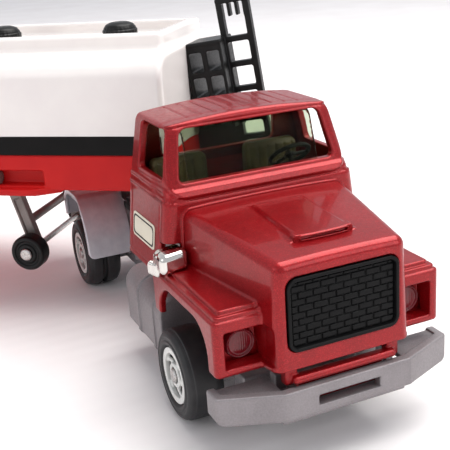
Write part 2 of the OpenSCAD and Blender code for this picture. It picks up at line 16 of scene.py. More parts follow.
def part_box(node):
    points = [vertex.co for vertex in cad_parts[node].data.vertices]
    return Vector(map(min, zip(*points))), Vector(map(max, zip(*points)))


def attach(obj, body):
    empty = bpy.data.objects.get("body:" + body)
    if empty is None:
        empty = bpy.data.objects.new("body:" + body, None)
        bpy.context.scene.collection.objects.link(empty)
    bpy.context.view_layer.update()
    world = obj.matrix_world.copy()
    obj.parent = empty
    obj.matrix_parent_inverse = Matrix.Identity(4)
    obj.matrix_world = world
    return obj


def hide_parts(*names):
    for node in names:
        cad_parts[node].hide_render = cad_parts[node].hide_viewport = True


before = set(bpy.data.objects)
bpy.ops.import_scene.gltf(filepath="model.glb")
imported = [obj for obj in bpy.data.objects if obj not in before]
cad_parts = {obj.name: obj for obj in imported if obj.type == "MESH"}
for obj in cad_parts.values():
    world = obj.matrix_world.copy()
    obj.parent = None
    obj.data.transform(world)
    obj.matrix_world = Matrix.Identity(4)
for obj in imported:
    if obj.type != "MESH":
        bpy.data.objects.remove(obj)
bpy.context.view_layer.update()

MM = 0.001


def middle(node):
    """The centre of a CAD node's box, in millimetres."""
    low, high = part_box(node)
    return (low + high) / (2 * MM)


def sizes(node):
    """The three sides of a CAD node's box, in millimetres."""
    low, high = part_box(node)
    return (high - low) / MM


# ------------------------------------------------------------------ driving positions
FRONT_AXLE = middle("front_axle")
REAR_AXLE = middle("rear_axle")
KINGPIN = middle("kingpin")
TYRE_R = sizes("front_tyre_right").z / 2
GROUND = FRONT_AXLE.z - TYRE_R
REAR_AXLE_X = REAR_AXLE.x - FRONT_AXLE.x
KINGPIN_X = KINGPIN.x - FRONT_AXLE.x
TRAILER_LINE = KINGPIN - middle("trailer_rear_axle")
YAW = math.atan2(TRAILER_LINE.y, TRAILER_LINE.x)

TRUCK = Matrix.Translation((FRONT_AXLE.x, FRONT_AXLE.y, GROUND))
TRAILER = Matrix.Translation((KINGPIN.x, KINGPIN.y, GROUND)) @ Matrix.Rotation(YAW, 4, "Z")
# A part is a local frame and the body that its pieces ride on
ON_TRACTOR = (TRUCK, "tractor")
ON_TRAILER = (TRAILER, "trailer")


def on_trailer(node):
    """The centre of a CAD node's box, in the trailer's frame, in millimetres."""
    return TRAILER.inverted() @ middle(node)


# ------------------------------------------------------------------ camera
CAMERA_AZIMUTH = math.radians(22.83)
CAMERA_HEIGHT_ANGLE = math.radians(19.13)
CAMERA_ROLL = math.radians(-4.08)
CAMERA_DISTANCE = 145.04
CAMERA_TARGET = Vector((22.4, -19.74, 47.27))
CAMERA_LENS = 69.92


def make_camera():
    data = bpy.data.cameras.new("camera")
    data.lens = CAMERA_LENS
    data.sensor_width = 36
    data.clip_start = 0.005
    data.clip_end = 20
    camera = bpy.data.objects.new("camera", data)
    bpy.context.scene.collection.objects.link(camera)
    back = Vector((math.cos(CAMERA_AZIMUTH) * math.cos(CAMERA_HEIGHT_ANGLE),
                   -math.sin(CAMERA_AZIMUTH) * math.cos(CAMERA_HEIGHT_ANGLE),
                   math.sin(CAMERA_HEIGHT_ANGLE)))
    right = (-back).cross(Vector((0, 0, 1))).normalized()
    up = right.cross(-back)
    place = TRUCK @ (CAMERA_TARGET + back * CAMERA_DISTANCE)
    turned_right = right * math.cos(CAMERA_ROLL) + up * math.sin(CAMERA_ROLL)
    turned_up = up * math.cos(CAMERA_ROLL) - right * math.sin(CAMERA_ROLL)
    rotation = Matrix((turned_right, turned_up, back)).transposed().to_4x4()
    camera.matrix_world = Matrix.Translation(place * MM) @ rotation
    bpy.context.scene.camera = camera


make_camera()


# ------------------------------------------------------------------ solid fields
# A field gives each point its distance to a surface, negative inside.

def cut(a, b, r=0.0):
    """The overlap of two fields, with its edge rounded by r."""
    if r <= 0:
        return maximum(a, b)
    return minimum(maximum(a, b), -r) + hypot(maximum(a + r, 0), maximum(b + r, 0))


def join(a, b, r=0.0):
    """Both fields together, with the inner corner filled by r."""
    return -cut(-a, -b, r)


def remove(a, b, r=0.0):
    """Field a without field b, with its edge rounded by r."""
    return cut(a, -b, r)


def box_field(x, y, z, low, high, r=0.3):
    """A block with rounded edges."""
    centre = [(p + q) / 2 for p, q in zip(low, high)]
    q = [abs(v - c) - (h - l) / 2 + r for v, c, l, h in zip((x, y, z), centre, low, high)]
    outside = np.sqrt(sum(maximum(v, 0) ** 2 for v in q))
    return outside + minimum(maximum(maximum(q[0], q[1]), q[2]), 0) - r


def flat_box(u, v, low, high, r=0.3):
    """A rectangle with rounded corners, without end in the third direction."""
    p, q = (abs(w - (l + h) / 2) - (h - l) / 2 + r for w, l, h in zip((u, v), low, high))
    return hypot(maximum(p, 0), maximum(q, 0)) + minimum(maximum(p, q), 0) - r


def slab(v, centre, half):
    """The space within half of the middle in one direction."""
    return abs(v - centre) - half


def bump(distance, width):
    """A soft ridge, 1 where distance is 0."""
    return np.exp(-(distance / width) ** 2)


def ease(value, low, high):
    """0 below low and 1 above high, smoothly between."""
    t = np.clip((value - low) / (high - low), 0, 1)
    return t * t * (3 - 2 * t)


# ------------------------------------------------------------------ fields to meshes

def steps(low, high, step):
    """Evenly spaced grid lines from low to high, about step apart."""
    return np.linspace(low, high, max(3, int(round((high - low) / step)) + 1))


def grid(low, high, step):
    """Grid lines in x, y and z over a block; step is one length or three."""
    return [steps(*stretch) for stretch in zip(low, high, np.broadcast_to(step, 3))]


def stretched_steps(*stretches):
    """Grid lines over several stretches, each (low, high, step)."""
    return np.unique(np.round(concatenate([steps(*s) for s in stretches]), 5))


def finer(step):
    return step


def surface_of(field, xs, ys, zs, passes=4):
    """Points and faces of the surface where the field is 0, drawn to the field exactly."""
    value = field(*np.meshgrid(xs, ys, zs, indexing="ij")).astype(np.float32)
    lines = (xs, ys, zs)
    cells = np.array(value.shape) - 1
    owners, crossings = [], []
    for a in range(3):
        b, c = (a + 1) % 3, (a + 2) % 3
        first = np.take(value, range(cells[a]), axis=a)
        second = np.take(value, range(1, cells[a] + 1), axis=a)
        at = np.argwhere((first < 0) != (second < 0))
        inner = (at[:, b] > 0) & (at[:, b] < cells[b]) & (at[:, c] > 0) & (at[:, c] < cells[c])
        at = at[inner]
        v0, v1 = first[tuple(at.T)], second[tuple(at.T)]
        point = np.stack([lines[k][at[:, k]] for k in range(3)], 1).astype(float)
        point[:, a] += v0 / (v0 - v1) * (lines[a][at[:, a] + 1] - lines[a][at[:, a]])
        ring = []
        for db, dc in ((-1, -1), (0, -1), (0, 0), (-1, 0)):
            cell = at.copy()
            cell[:, b] += db
            cell[:, c] += dc
            ring.append(np.ravel_multi_index(tuple(cell.T), tuple(cells)))
        ring = np.stack(ring, 1)
        ring[v0 >= 0] = ring[v0 >= 0][:, ::-1]
        owners.append(ring)
        crossings.append(np.repeat(point, 4, axis=0))
    owners = concatenate(owners)
    crossings = concatenate(crossings)
    _, index = np.unique(owners.ravel(), return_inverse=True)
    index = index.ravel()
    count = np.bincount(index)
    points = np.stack([np.bincount(index, weights=crossings[:, k]) / count for k in range(3)], 1)
    reach = 0.5 * min(float(np.diff(line).min()) for line in lines)
    for _ in range(passes):
        distance, slope = field_and_slope(field, points)
        move = distance[:, None] * slope / maximum((slope ** 2).sum(1, keepdims=True), 0.05)
        points -= np.clip(move, -reach, reach)
    return points, index.reshape(-1, 4)


def field_and_slope(field, points, h=0.02):
    """A field and its slope at points, from samples h to each side of them."""
    x, y, z = points.T
    slope = np.stack([
        (field(x + h, y, z) - field(x - h, y, z)) / (2 * h),
        (field(x, y + h, z) - field(x, y - h, z)) / (2 * h),
        (field(x, y, z + h) - field(x, y, z - h)) / (2 * h)], 1)
    return field(x, y, z), slope


def mesh_object(name, points, faces, part, material, nodes):
    """An object from points in millimetres; part is its local frame and the body it rides on."""
    place, body = part
    mesh = bpy.data.meshes.new(name)
    mesh.from_pydata((moved(points, place) * MM).tolist(), [], np.asarray(faces).tolist())
    mesh.validate()
    mesh.polygons.foreach_set("use_smooth", [True] * len(mesh.polygons))
    piece = bpy.data.objects.new(name, mesh)
    bpy.context.scene.collection.objects.link(piece)
    mesh.materials.append(material)
    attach(piece, body)
    # Blender adds a number to a material's name that the frame's own materials already have
    if nodes:
        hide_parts(*nodes)
    return piece


def moved(points, place):
    """Points of a local frame in the frame around it."""
    return np.asarray(points) @ np.array(place.to_3x3()).T + np.array(place.translation)


def cast(name, field, lines, part, material, nodes=(), keep=1.0, both=False):
    """A piece whose surface is a field, thinned to a share of its faces where it is flat.
    With both, the grid covers the left side only and the right side is its mirror image."""
    points, faces = surface_of(field, *lines)
    if both:
        faces = concatenate([faces, faces[:, ::-1] + len(points)])
        points = concatenate([points, points * [1, -1, 1]])
    piece = mesh_object(name, points, faces, part, material, nodes)
    if keep < 1:
        thin(piece, keep)
        settle(piece, field, part[0])


def thin(piece, keep):
    """Merges faces where a piece is flat, down to the share to keep."""
    modifier = piece.modifiers.new("thin", "DECIMATE")
    modifier.ratio = keep
    bpy.context.view_layer.update()
    shaped = piece.evaluated_get(bpy.context.evaluated_depsgraph_get())
    mesh = bpy.data.meshes.new_from_object(shaped)
    piece.modifiers.clear()
    piece.data = mesh


def settle(piece, field, place):
    """Gives a thinned piece the field's own normals, so that it shades smoothly."""
    mesh = piece.data
    points = np.empty(len(mesh.vertices) * 3)
    mesh.vertices.foreach_get("co", points)
    _, slope = field_and_slope(field, moved(points.reshape(-1, 3) / MM, place.inverted()))
    slope /= maximum(np.linalg.norm(slope, axis=1, keepdims=True), 1e-9)
    normals = slope @ np.array(place.to_3x3()).T
    mesh.normals_split_custom_set_from_vertices(normals.tolist())


# ------------------------------------------------------------------ materials

SHADER_INPUTS = {"metal": "Metallic", "coat": "Coat Weight", "coat_rough": "Coat Roughness",
                 "specular": "Specular IOR Level", "transmission": "Transmission Weight", "ior": "IOR"}


def srgb(r, g, b):
    """A screen colour from 0 to 255 as the linear colour that shaders use."""
    linear = [c / 12.92 if c <= 0.04045 else ((c + 0.055) / 1.055) ** 2.4
              for c in (r / 255, g / 255, b / 255)]
    return (*linear, 1.0)


class Nodes:
    """A new material and short names for building its nodes; others are named in SHADER_INPUTS."""

    def __init__(self, name, colour, rough, **others):
        self.material = bpy.data.materials.new(name)
        self.material.use_nodes = True
        self.tree = self.material.node_tree
        self.shader = self.tree.nodes["Principled BSDF"]
        self.shader.inputs["Base Color"].default_value = srgb(*colour)
        self.shader.inputs["Roughness"].default_value = rough
        for key, value in {"coat_rough": 0.05, **others}.items():
            self.shader.inputs[SHADER_INPUTS[key]].default_value = value
        self.place = self.tree.nodes.new("ShaderNodeTexCoord").outputs["Object"]

    def link(self, output, node, name):
        self.tree.links.new(output, node.inputs[name])

    def texture(self, kind, scale, **values):
        """A texture node over the object's own coordinates."""
        node = self.tree.nodes.new("ShaderNodeTex" + kind)
        for name, value in {"Scale": scale, **values}.items():
            node.inputs[name].default_value = value
        self.link(self.place, node, "Vector")
        return node

    def noise(self, size_mm, detail=3.0, rough=0.5):
        """Noise with grains about size_mm wide."""
        return self.texture("Noise", 1 / (size_mm * MM), Detail=detail, Roughness=rough).outputs["Fac"]

    def cells(self, size_mm):
        """Small cells, each with its own random colour."""
        return self.texture("Voronoi", 1 / (size_mm * MM)).outputs["Color"]

    def ramp(self, value, *stops):
        """Colours or greys over a value; each stop is (position, screen colour or grey)."""
        node = self.tree.nodes.new("ShaderNodeValToRGB")
        ramp = node.color_ramp
        while len(ramp.elements) < len(stops):
            ramp.elements.new(0.5)
        for element, (position, colour) in zip(ramp.elements, stops):
            element.position = position
            element.color = srgb(*colour) if isinstance(colour, tuple) else (colour, colour, colour, 1)
        self.link(value, node, "Fac")
        return node.outputs["Color"]

    def mix(self, share, a, b):
        """Two colour outputs, mixed."""
        node = self.tree.nodes.new("ShaderNodeMix")
        node.data_type = "RGBA"
        factor, first, second, result = 0, 6, 7, 2
        node.inputs[factor].default_value = share
        self.link(a, node, first)
        self.link(b, node, second)
        return node.outputs[result]

    def bump(self, height, strength, distance_mm):
        node = self.tree.nodes.new("ShaderNodeBump")
        node.inputs["Strength"].default_value = strength
        node.inputs["Distance"].default_value = distance_mm * MM
        self.link(height, node, "Height")
        self.link(node.outputs["Normal"], self.shader, "Normal")

    def colour(self, output):
        self.link(output, self.shader, "Base Color")

    def rough(self, output):
        self.link(output, self.shader, "Roughness")


def lacquer_red():
    """Metallic red lacquer: fine bright flakes under a clear coat."""
    n = Nodes("lacquer_red", (136, 4, 12), 0.4, metal=0.45, coat=0.35, specular=0.3)
    flakes = n.ramp(n.cells(0.16), (0.0, (108, 2, 9)), (0.6, (146, 5, 14)), (0.95, (200, 40, 46)))
    cloud = n.ramp(n.noise(6, 2), (0.35, (132, 3, 11)), (0.65, (150, 6, 15)))
    n.colour(n.mix(0.45, cloud, flakes))
    n.rough(n.ramp(n.noise(0.9, 3), (0.3, 0.28), (0.7, 0.4)))
    n.bump(n.noise(1.6, 2), 0.05, 0.06)
    return n.material


def cast_grey():
    """Silver-grey paint over a zinc casting, with small pits."""
    n = Nodes("cast_grey", (132, 126, 128), 0.42, metal=0.35)
    grain = n.ramp(n.noise(0.35, 4, 0.6), (0.3, (120, 115, 117)), (0.7, (146, 140, 142)))
    cloud = n.ramp(n.noise(5, 2), (0.3, (126, 120, 122)), (0.7, (142, 136, 138)))
    n.colour(n.mix(0.5, grain, cloud))
    n.rough(n.ramp(n.noise(0.5, 4, 0.6), (0.3, 0.36), (0.7, 0.56)))
    n.bump(n.noise(0.4, 4, 0.6), 0.25, 0.05)
    return n.material


def textured(name, colour, rough, shades=None, roughs=None, relief=None, **others):
    """A material whose colour, roughness and relief each follow a noise. shades and roughs are
    (grain in mm, detail, stop, stop), and relief is (grain in mm, detail, strength, depth in mm)."""
    n = Nodes(name, colour, rough, **others)
    if shades:
        n.colour(n.ramp(n.noise(*shades[:2]), *shades[2:]))
    if roughs:
        n.rough(n.ramp(n.noise(*roughs[:2]), *roughs[2:]))
    if relief:
        n.bump(n.noise(*relief[:2]), *relief[2:])
    return n.material


def plastic(name, colour, other, rough, grain=0.6, strength=0.1, **others):
    """Moulded plastic with a slight cloudiness and a fine surface grain."""
    return textured(name, colour, rough[0], (grain * 6, 3, (0.35, colour), (0.65, other)),
                    (grain, 4, (0.3, rough[0]), (0.7, rough[1])), (grain, 3, strength, 0.04), **others)


LACQUER = lacquer_red()
CAST_GREY = cast_grey()
# Smooth silver-grey paint of the mudguards
GUARD_GREY = textured("guard_grey", (206, 206, 212), 0.4,
                      (2.2, 3, (0.3, (199, 199, 206)), (0.7, (213, 213, 218))),
                      (0.5, 4, (0.3, 0.3), (0.7, 0.42)), (0.5, 3, 0.12, 0.04),
                      metal=0.3, coat=0.15, coat_rough=0.15)
STEEL = textured("steel", (196, 194, 192), 0.3, (0.5, 3, (0.3, (170, 166, 162)), (0.7, (210, 208, 206))),
                 (0.3, 4, (0.3, 0.22), (0.7, 0.42)), (0.2, 3, 0.1, 0.02), metal=1.0)
# Bright plating with a faint ripple
PLATED = textured("plated", (214, 211, 206), 0.06, None, (0.7, 3, (0.3, 0.04), (0.75, 0.12)),
                  (1.4, 2, 0.14, 0.08), metal=1.0)
# Clear pale green plastic
WINDOW = textured("window_tint", (196, 206, 186), 0.04, None, (2.0, 2, (0.4, 0.02), (0.8, 0.07)),
                  transmission=1.0, ior=1.08)
SEAT = plastic("seat_olive", (112, 100, 62), (88, 78, 50), (0.4, 0.55))
BLACK = plastic("black_plastic", (15, 15, 15), (21, 21, 21), (0.28, 0.45), 0.5, 0.15, specular=0.25)
GRILLE_BLACK = plastic("grille_black", (9, 9, 10), (14, 14, 15), (0.3, 0.42), 0.5, specular=0.12)
TYRE = plastic("tyre_black", (34, 34, 36), (44, 43, 44), (0.42, 0.55), 0.5, 0.12, specular=0.4)
WHITE_PRINT = plastic("wheel_white", (226, 226, 222), (212, 212, 208), (0.25, 0.4))
WHEEL_BLACK = plastic("wheel_black", (16, 16, 16), (22, 22, 22), (0.25, 0.4))
TANK_WHITE = plastic("tank_white", (236, 229, 226), (240, 234, 230), (0.16, 0.24), 1.5, 0.04, coat=0.4)
TANK_RED = plastic("tank_red", (188, 18, 20), (196, 24, 23), (0.35, 0.45), 1.5, 0.05, specular=0.2)
BAND = plastic("band_black", (11, 10, 10), (16, 14, 14), (0.3, 0.4), 1.0, 0.05, specular=0.12)
LAMP_RED = plastic("lamp_red", (112, 14, 26), (92, 9, 19), (0.1, 0.18), coat=0.3, specular=0.3)
LABEL = plastic("label", (226, 220, 200), (218, 212, 194), (0.35, 0.45), 0.8, 0.05)
PIPE = plastic("pipe_grey", (120, 114, 110), (136, 128, 124), (0.35, 0.5), 0.6, 0.15, metal=0.3)


# ------------------------------------------------------------------ cab and bonnet
CAB_BACK = middle("cab_body").x - sizes("cab_body").x / 2 - FRONT_AXLE.x
CAB_BOTTOM = 28.3
ROOF_TOP = 59.2
BONNET_FRONT = 27.1
WING_HALF = 23.6
WALL = 1.4
ROOF_CURVE = 0.0035
BONNET_BACK = -2.9
# Centre of a headlamp
LAMP_Y, LAMP_Z = 17.6, 24.0
FINE = finer(0.34)


def cab_half(z):
    """Half width of the cab at a height: narrower above the belt."""
    return interp(z, [20, 28.3, 44.0, 46.3, 57.6, 60], [23.7, 22.9, 21.05, 20.55, 18.45, 18.2])


def cab_front(z):
    """How far forward the cab's front face reaches at a height: cowl, ridge and windscreen."""
    return interp(z, [20, 43.4, 44.4, 45.0, 45.9, 46.5, 58.2, 60],
                  [-2.9, -2.9, -3.2, -3.2, -3.7, -4.6, -8.0, -8.5])


def windscreen(y, z):
    a = abs(y)
    side = (a - interp(z, [47.2, 57.2], [17.3, 15.4])) * 0.98
    return cut(side, slab(z, 52.2, 5.0), 1.4)


def side_window(x, z):
    front = (x - interp(z, [48, 57.4], [-6.9, -8.8])) * 0.98
    return cut(cut(front, slab(z, 52.6, 4.7), 1.0), -20.4 - x, 1.0)


def rear_window(y, z):
    return cut(abs(y) - 13.5, slab(z, 52.4, 4.4), 1.5)


def cab_shell(x, a, z, t=0.0):
    """The cab's outside form without its details, shrunk by t."""
    side = (a - cab_half(z)) * 0.985 + t
    front = (x - cab_front(z)) * 0.965 + t
    body = cut(side, front, 2.4)
    body = cut(body, CAB_BACK - x + t, 1.6)
    crown = ROOF_TOP - ROOF_CURVE * a * a - 0.35 * ease(x, -12, -7)
    return cut(body, z - crown + t, 1.2)


def bonnet_half(x, z):
    return interp(x, [-4, BONNET_FRONT], [18.2, 13.0]) + (40 - z) * 0.045


def bonnet_top(x, a):
    return 42.9 - (x - BONNET_BACK) * 0.097 - 0.0014 * a * a


def bonnet_form(x, a, z, t=0.0):
    """The bonnet's outside form, shrunk by t."""
    side = (a - bonnet_half(x, z)) * 0.98 + t
    top = z - bonnet_top(x, a) + t
    front = x - BONNET_FRONT + t
    form = cut(side, top, 1.7)
    form = cut(form, front, 1.7)
    return cut(cut(form, -5 - x), 19.5 - z - 20 * t, 0.4)


def wheel_arch(x, z, grow=0.0):
    """Side outline of the opening over the front wheel."""
    return flat_box(x, z, (-5.2 - grow, 0), (19.1 + grow, 27.9 + grow), 6.2 + grow)


def wing_form(x, a, z):
    base = cut(a - WING_HALF, x - 22.8, 1.2)
    low = cut(base, z - 29.9, 0.5)
    middle_step = cut(cut(a - 22.95, x - 22.3, 0.9), z - 30.7, 0.3)
    upper_step = cut(cut(a - 22.0, x - 21.4, 0.8), z - 31.5, 0.35)
    wing = join(join(low, middle_step, 0.15), upper_step, 0.2)
    wing = cut(wing, -8.3 - x, 0.8)
    floor = np.where(x > 10, 19.1, 21.0)
    wing = cut(wing, floor - z, 0.7)
    return cut(wing, 9 - a)


def lamp_pocket(x, a, z):
    """Tapered square pocket of a headlamp."""
    inward = np.clip(22.8 - x, 0, 4) * 0.22
    square = flat_box(a, z, (13.6, 20.5), (21.6, 27.7), 0.5)
    return cut(cut(square + inward, 19.4 - x, 0.15), x - 30)


def lamp_field(x, y, z):
    """A headlamp: a rim ring round an upright-fluted lens."""
    a = abs(y)
    radius = hypot(a - LAMP_Y, z - LAMP_Z)
    lens = 19.95 + 0.45 * np.sqrt(np.clip(1 - (radius / 2.5) ** 2, 0, 1)) + 0.012 * np.cos(a * 14.0)
    rim = 0.62 * bump(radius - 2.6, 0.26)
    return cut(cut(radius - 2.95, x - lens - rim, 0.12), 19.2 - x) * 0.8


def cab_field(x, y, z):
    a = abs(y)
    # Details that are drawn into the faces of the cab
    screen = windscreen(y, z)
    window = side_window(x, z)
    panel_side = (0.2 * bump(window - 0.5, 0.35) * (x > CAB_BACK + 1)
                  - 0.14 * bump(x + 6.4, 0.25) * ease(43.6 - z, 0, 1) * ease(z, 33, 34)
                  - 0.16 * bump(z - 29.4, 0.25) * ease(-x, 8, 9)
                  + 0.2 * bump(z - 45.9, 0.28) * ease(-x, 5, 6) + 0.2 * bump(z - 44.2, 0.25) * ease(-x, 5, 6)
                  + 0.12 * bump(x + 23.4, 0.3) * ease(z, 30, 31) * ease(43.6 - z, 0, 1))
    screen_frame = 0.45 * ease(3.1 - screen, 0, 0.7) + 0.16 * bump(screen - 0.45, 0.35)
    roof_ribs = 0.2 * bump((y + 1.55) % 3.1 - 1.55, 0.3) * ease(14.6 - a, 0, 0.5)
    roof_ribs = roof_ribs * ease(-x, 10.0, 10.8) * ease(x, CAB_BACK + 1.6, CAB_BACK + 2.4) * (z > 56)
    shell = cab_shell(x, a, z) - panel_side * (z < 57.4) * ease(a, 15, 17)
    front_share = ease(x, -12, -9)
    screen_frame = screen_frame * front_share * (z > 43) * ease(58.2 - z, 0, 0.8)
    shell = shell - screen_frame + 0.35 * front_share * (z > 44)
    cap = cut(cut(a - 18.6, x + 7.6, 1.8), CAB_BACK - 0.05 - x, 1.4)
    cap = cut(cap, z - ROOF_TOP + ROOF_CURVE * a * a, 1.1)
    cap = cut(cap + roof_ribs * 0.8, 57.5 - z, 0.8)
    shell = join(cut(shell + roof_ribs * 0.8, CAB_BOTTOM - z, 0.35), cap, 0.25)
    # Bonnet with its raised middle
    bonnet = bonnet_form(x, a, z)
    flare = 5.6 + 1.1 * ease(-z, -41.8, -40.4)
    raised = cut(cut(a - flare, z - (42.85 - 0.05 * x), 0.7), x - 20.2, 0.3)
    raised = cut(raised, 2.5 - x)
    bonnet = join(bonnet, cut(raised, 39 - z), 0.5)
    wing = wing_form(x, a, z)
    body = join(join(shell, bonnet, 0.5), wing, 0.55)
    # Hollow inside
    inside = cut(cab_shell(x, a, z, WALL), CAB_BOTTOM - 12 - z)
    well = cut(wheel_arch(x, z, 0.9), maximum(13.8 - a, a - (WING_HALF - WALL)), 0.4)
    body = remove(body, join(inside, bonnet_form(x, a, z, WALL)), 0.1)
    body = remove(body, cut(wheel_arch(x, z), 15.0 - a), 0.45)
    body = remove(body, well, 0.1)
    # Window openings
    body = remove(body, cut(screen, -15 - x), 0.25)
    body = remove(body, cut(window, 15 - a), 0.25)
    body = remove(body, cut(rear_window(y, z), x + 20), 0.25)
    # Grille recess, headlamps and intake slots
    grille = flat_box(y, z, (-11.5, 22.95), (11.5, 37.1), 2.2)
    body = remove(body, cut(grille, BONNET_FRONT - 1.1 - x), 0.25)
    body = remove(body, lamp_pocket(x, a, z), 0.3)
    body = join(body, box_field(x, a, z, (18.4, 13.2, 20.1), (19.4, 22.2, 28.1), 0.2))
    body = remove(body, box_field(x, a, z, (-6.2, 18.6, 31.3), (0.4, 26, 35.9), 0.5), 0.25)
    # Valance below the grille and the tongue behind the bumper's slot
    bar = box_field(x, y, z, (25.2, -10.7, 16.7), (27.5, 10.7, 18.2), 0.6)
    legs = box_field(x, a, z, (24.2, 9.3, 16.4), (26.2, 11.9, 21), 0.4)
    tongue = box_field(x, y, z, (24.3, -9, 11.7), (25.4, 9, 17.5), 0.3)
    return join(join(join(body, bar, 0.2), legs, 0.3), tongue, 0.2)


def scoop_field(x, y, z):
    """Front of the bonnet's raised middle: a rounded slot inside a thin bead."""
    a = abs(y)
    face = x - 21.0 + 0.012 * a * a
    body = cut(cut(a - 6.1, z - (42.9 - 0.05 * x), 0.5), face, 0.22)
    body = cut(cut(body, 19.0 - x), 40.2 - z)
    slot = flat_box(y, z, (-4.8, 40.93), (4.8, 41.47), 0.26)
    body = join(body, hypot(slot - 0.12, face) - 0.15, 0.05)
    return remove(body, cut(slot, -0.7 - face), 0.06)


def cowl_bead_field(x, y, z):
    """Thin bead of the cowl round the back of the bonnet."""
    outline = bonnet_form(0 * x - 2.5, abs(y), z)
    return cut(hypot(outline - 0.1, x + 2.65) - 0.34, 31.2 - z, 0.1)


def make_cab():
    half = steps(0, 24.4, FINE)
    across = concatenate([-half[:0:-1], half])
    cab_lines = (steps(CAB_BACK - 0.6, 28.3, FINE), across, steps(11.2, 60.2, FINE))
    cast("cab_casting", cab_field, cab_lines, ON_TRACTOR, LACQUER, ("cab_body",), keep=0.5)
    # Details thinner than the cab's grid are pieces of their own
    cast("bonnet_scoop", scoop_field, grid((18.8, -6.5, 40.0), (21.5, 6.5, 42.3), (0.1, 0.12, 0.08)),
         ON_TRACTOR, LACQUER, keep=0.4)
    cast("cowl_bead", cowl_bead_field, grid((-3.3, -19.8, 31.0), (-2.0, 19.8, 43.8), (0.13, 0.15, 0.13)),
         ON_TRACTOR, LACQUER, keep=0.4)
    cast("headlamp_lenses", lamp_field, grid((19.0, 14.3, 20.7), (21.2, 20.9, 27.3), 0.1),
         ON_TRACTOR, LAMP_RED, ("headlamps",), keep=0.4, both=True)


# ------------------------------------------------------------------ round pieces

def rounded(points, r, arc=4):
    """An outline with each of its corners rounded by about r; the first and last points stay."""
    made = [points[0]]
    for before, corner, after in zip(points, points[1:], points[2:]):
        p, c, q = (np.array(v, float) for v in (before, corner, after))
        back, on = np.linalg.norm(p - c), np.linalg.norm(q - c)
        reach = min(r, 0.45 * back, 0.45 * on)
        start, end = c + (p - c) / back * reach, c + (q - c) / on * reach
        for t in np.linspace(0, 1, arc + 1):
            made.append(tuple((1 - t) ** 2 * start + 2 * t * (1 - t) * c + t * t * end))
    made.append(points[-1])
    return made


def turned(profile, segments=96, ribs=0, rib_depth=0.0, rib_from=0.0):
    """Points and faces of an outline of (radius, height) points turned about the local Z axis."""
    angles = np.arange(segments) * 2 * math.pi / segments
    points, faces = [], []
    for radius, height in profile:
        wave = rib_depth * np.cos(ribs * angles) if radius > rib_from else 0 * angles
        for angle, extra in zip(angles, wave):
            r = max(radius + extra, 0)
            points.append((r * math.cos(angle), r * math.sin(angle), height))
    for ring in range(0, (len(profile) - 1) * segments, segments):
        for j in range(segments):
            k = (j + 1) % segments
            faces.append((ring + j, ring + k, ring + segments + k, ring + segments + j))
    return points, faces


def lathe(name, profile, part, material, nodes=(), r=0.2, segments=96, closed=False, **ribs):
    """A turned piece; a closed outline is a ring, an open one starts and ends on the axis."""
    if closed:
        middle_point = tuple((np.array(profile[0]) + np.array(profile[-1])) / 2)
        profile = [middle_point, *profile, middle_point]
    points, faces = turned(rounded(profile, r), segments, **ribs)
    clean(mesh_object(name, points, faces, part, material, nodes))


def clean(piece):
    """Joins points that coincide and drops faces without area."""
    form = bmesh.new()
    form.from_mesh(piece.data)
    bmesh.ops.remove_doubles(form, verts=form.verts, dist=0.002 * MM)
    bmesh.ops.dissolve_degenerate(form, edges=form.edges, dist=0.001 * MM)
    bmesh.ops.recalc_face_normals(form, faces=form.faces)
    form.to_mesh(piece.data)
    form.free()


def outward(base, x, y, z, side):
    """A place whose local Z points sideways, away from the centre line on that side."""
    turn = Matrix.Rotation(-side * math.pi / 2, 4, "X")
    return base @ Matrix.Translation((x, y, z)) @ turn


def shaft(name, part, x, z, half, radius, nodes, head=0.45):
    """A round pin along Y with a domed head at each end."""
    front = [(radius, half - 0.1), (radius + head, half - 0.1), (radius + head, half + 0.2),
             (radius + head * 0.6, half + 0.5), (0, half + 0.55)]
    profile = [(r, -height) for r, height in reversed(front)] + front
    place, body = part
    lathe(name, profile, (outward(place, x, 0, z, 1), body), STEEL, nodes, r=0.15, segments=48)


# ------------------------------------------------------------------ cab fittings
SEAT_Y = 10.9
SEAT_HALF = 6.2
SEAT_TOP = 48.4


def leaned(u, v, angle):
    """Both coordinates in axes that are turned by the angle."""
    return u * math.cos(angle) + v * math.sin(angle), v * math.cos(angle) - u * math.sin(angle)


def grille_field(x, y, z):
    """The grille: a rim round rows of small blocks, laid like bricks."""
    outline = flat_box(y, z, (-11.35, 23.05), (11.35, 36.95), 2.0)
    row_height, brick, height = 1.26, 3.05, z - 24.0
    row = np.floor(height / row_height)
    in_row = height - (row + 0.5) * row_height
    shift = np.where(row % 2 == 0, 0.0, brick / 2)
    in_brick = (y + shift + brick / 2) % brick - brick / 2
    block = cut(abs(in_row) - row_height / 2 + 0.1, abs(in_brick) - brick / 2 + 0.12, 0.1)
    front = 26.6 + 0.3 * ease(-block, -0.1, 0.12) * ease(-outline, 0.95, 1.05)
    rim = 0.85 * ease(outline + 0.85, -0.1, 0.25)
    return cut(cut(outline, x - front - rim, 0.12), 25.75 - x, 0.1) * 0.8


def make_grille():
    cast("grille_insert", grille_field, grid((25.4, -11.8, 22.6), (27.8, 11.8, 37.4), finer(0.17)),
         ON_TRACTOR, GRILLE_BLACK, ("grille",), keep=0.5)


def glazing_field(x, y, z):
    a = abs(y)
    outer = cab_shell(x, a, z, WALL + 0.08)
    inner = cab_shell(x, a, z, WALL + 0.85)
    lining = remove(cut(outer, slab(z, 51.75, 5.9), 0.2), inner, 0.1)
    return remove(lining, cut(CAB_BACK + 3 - x - 10 * (x > CAB_BACK + 3), 14.4 - a), 0.1)


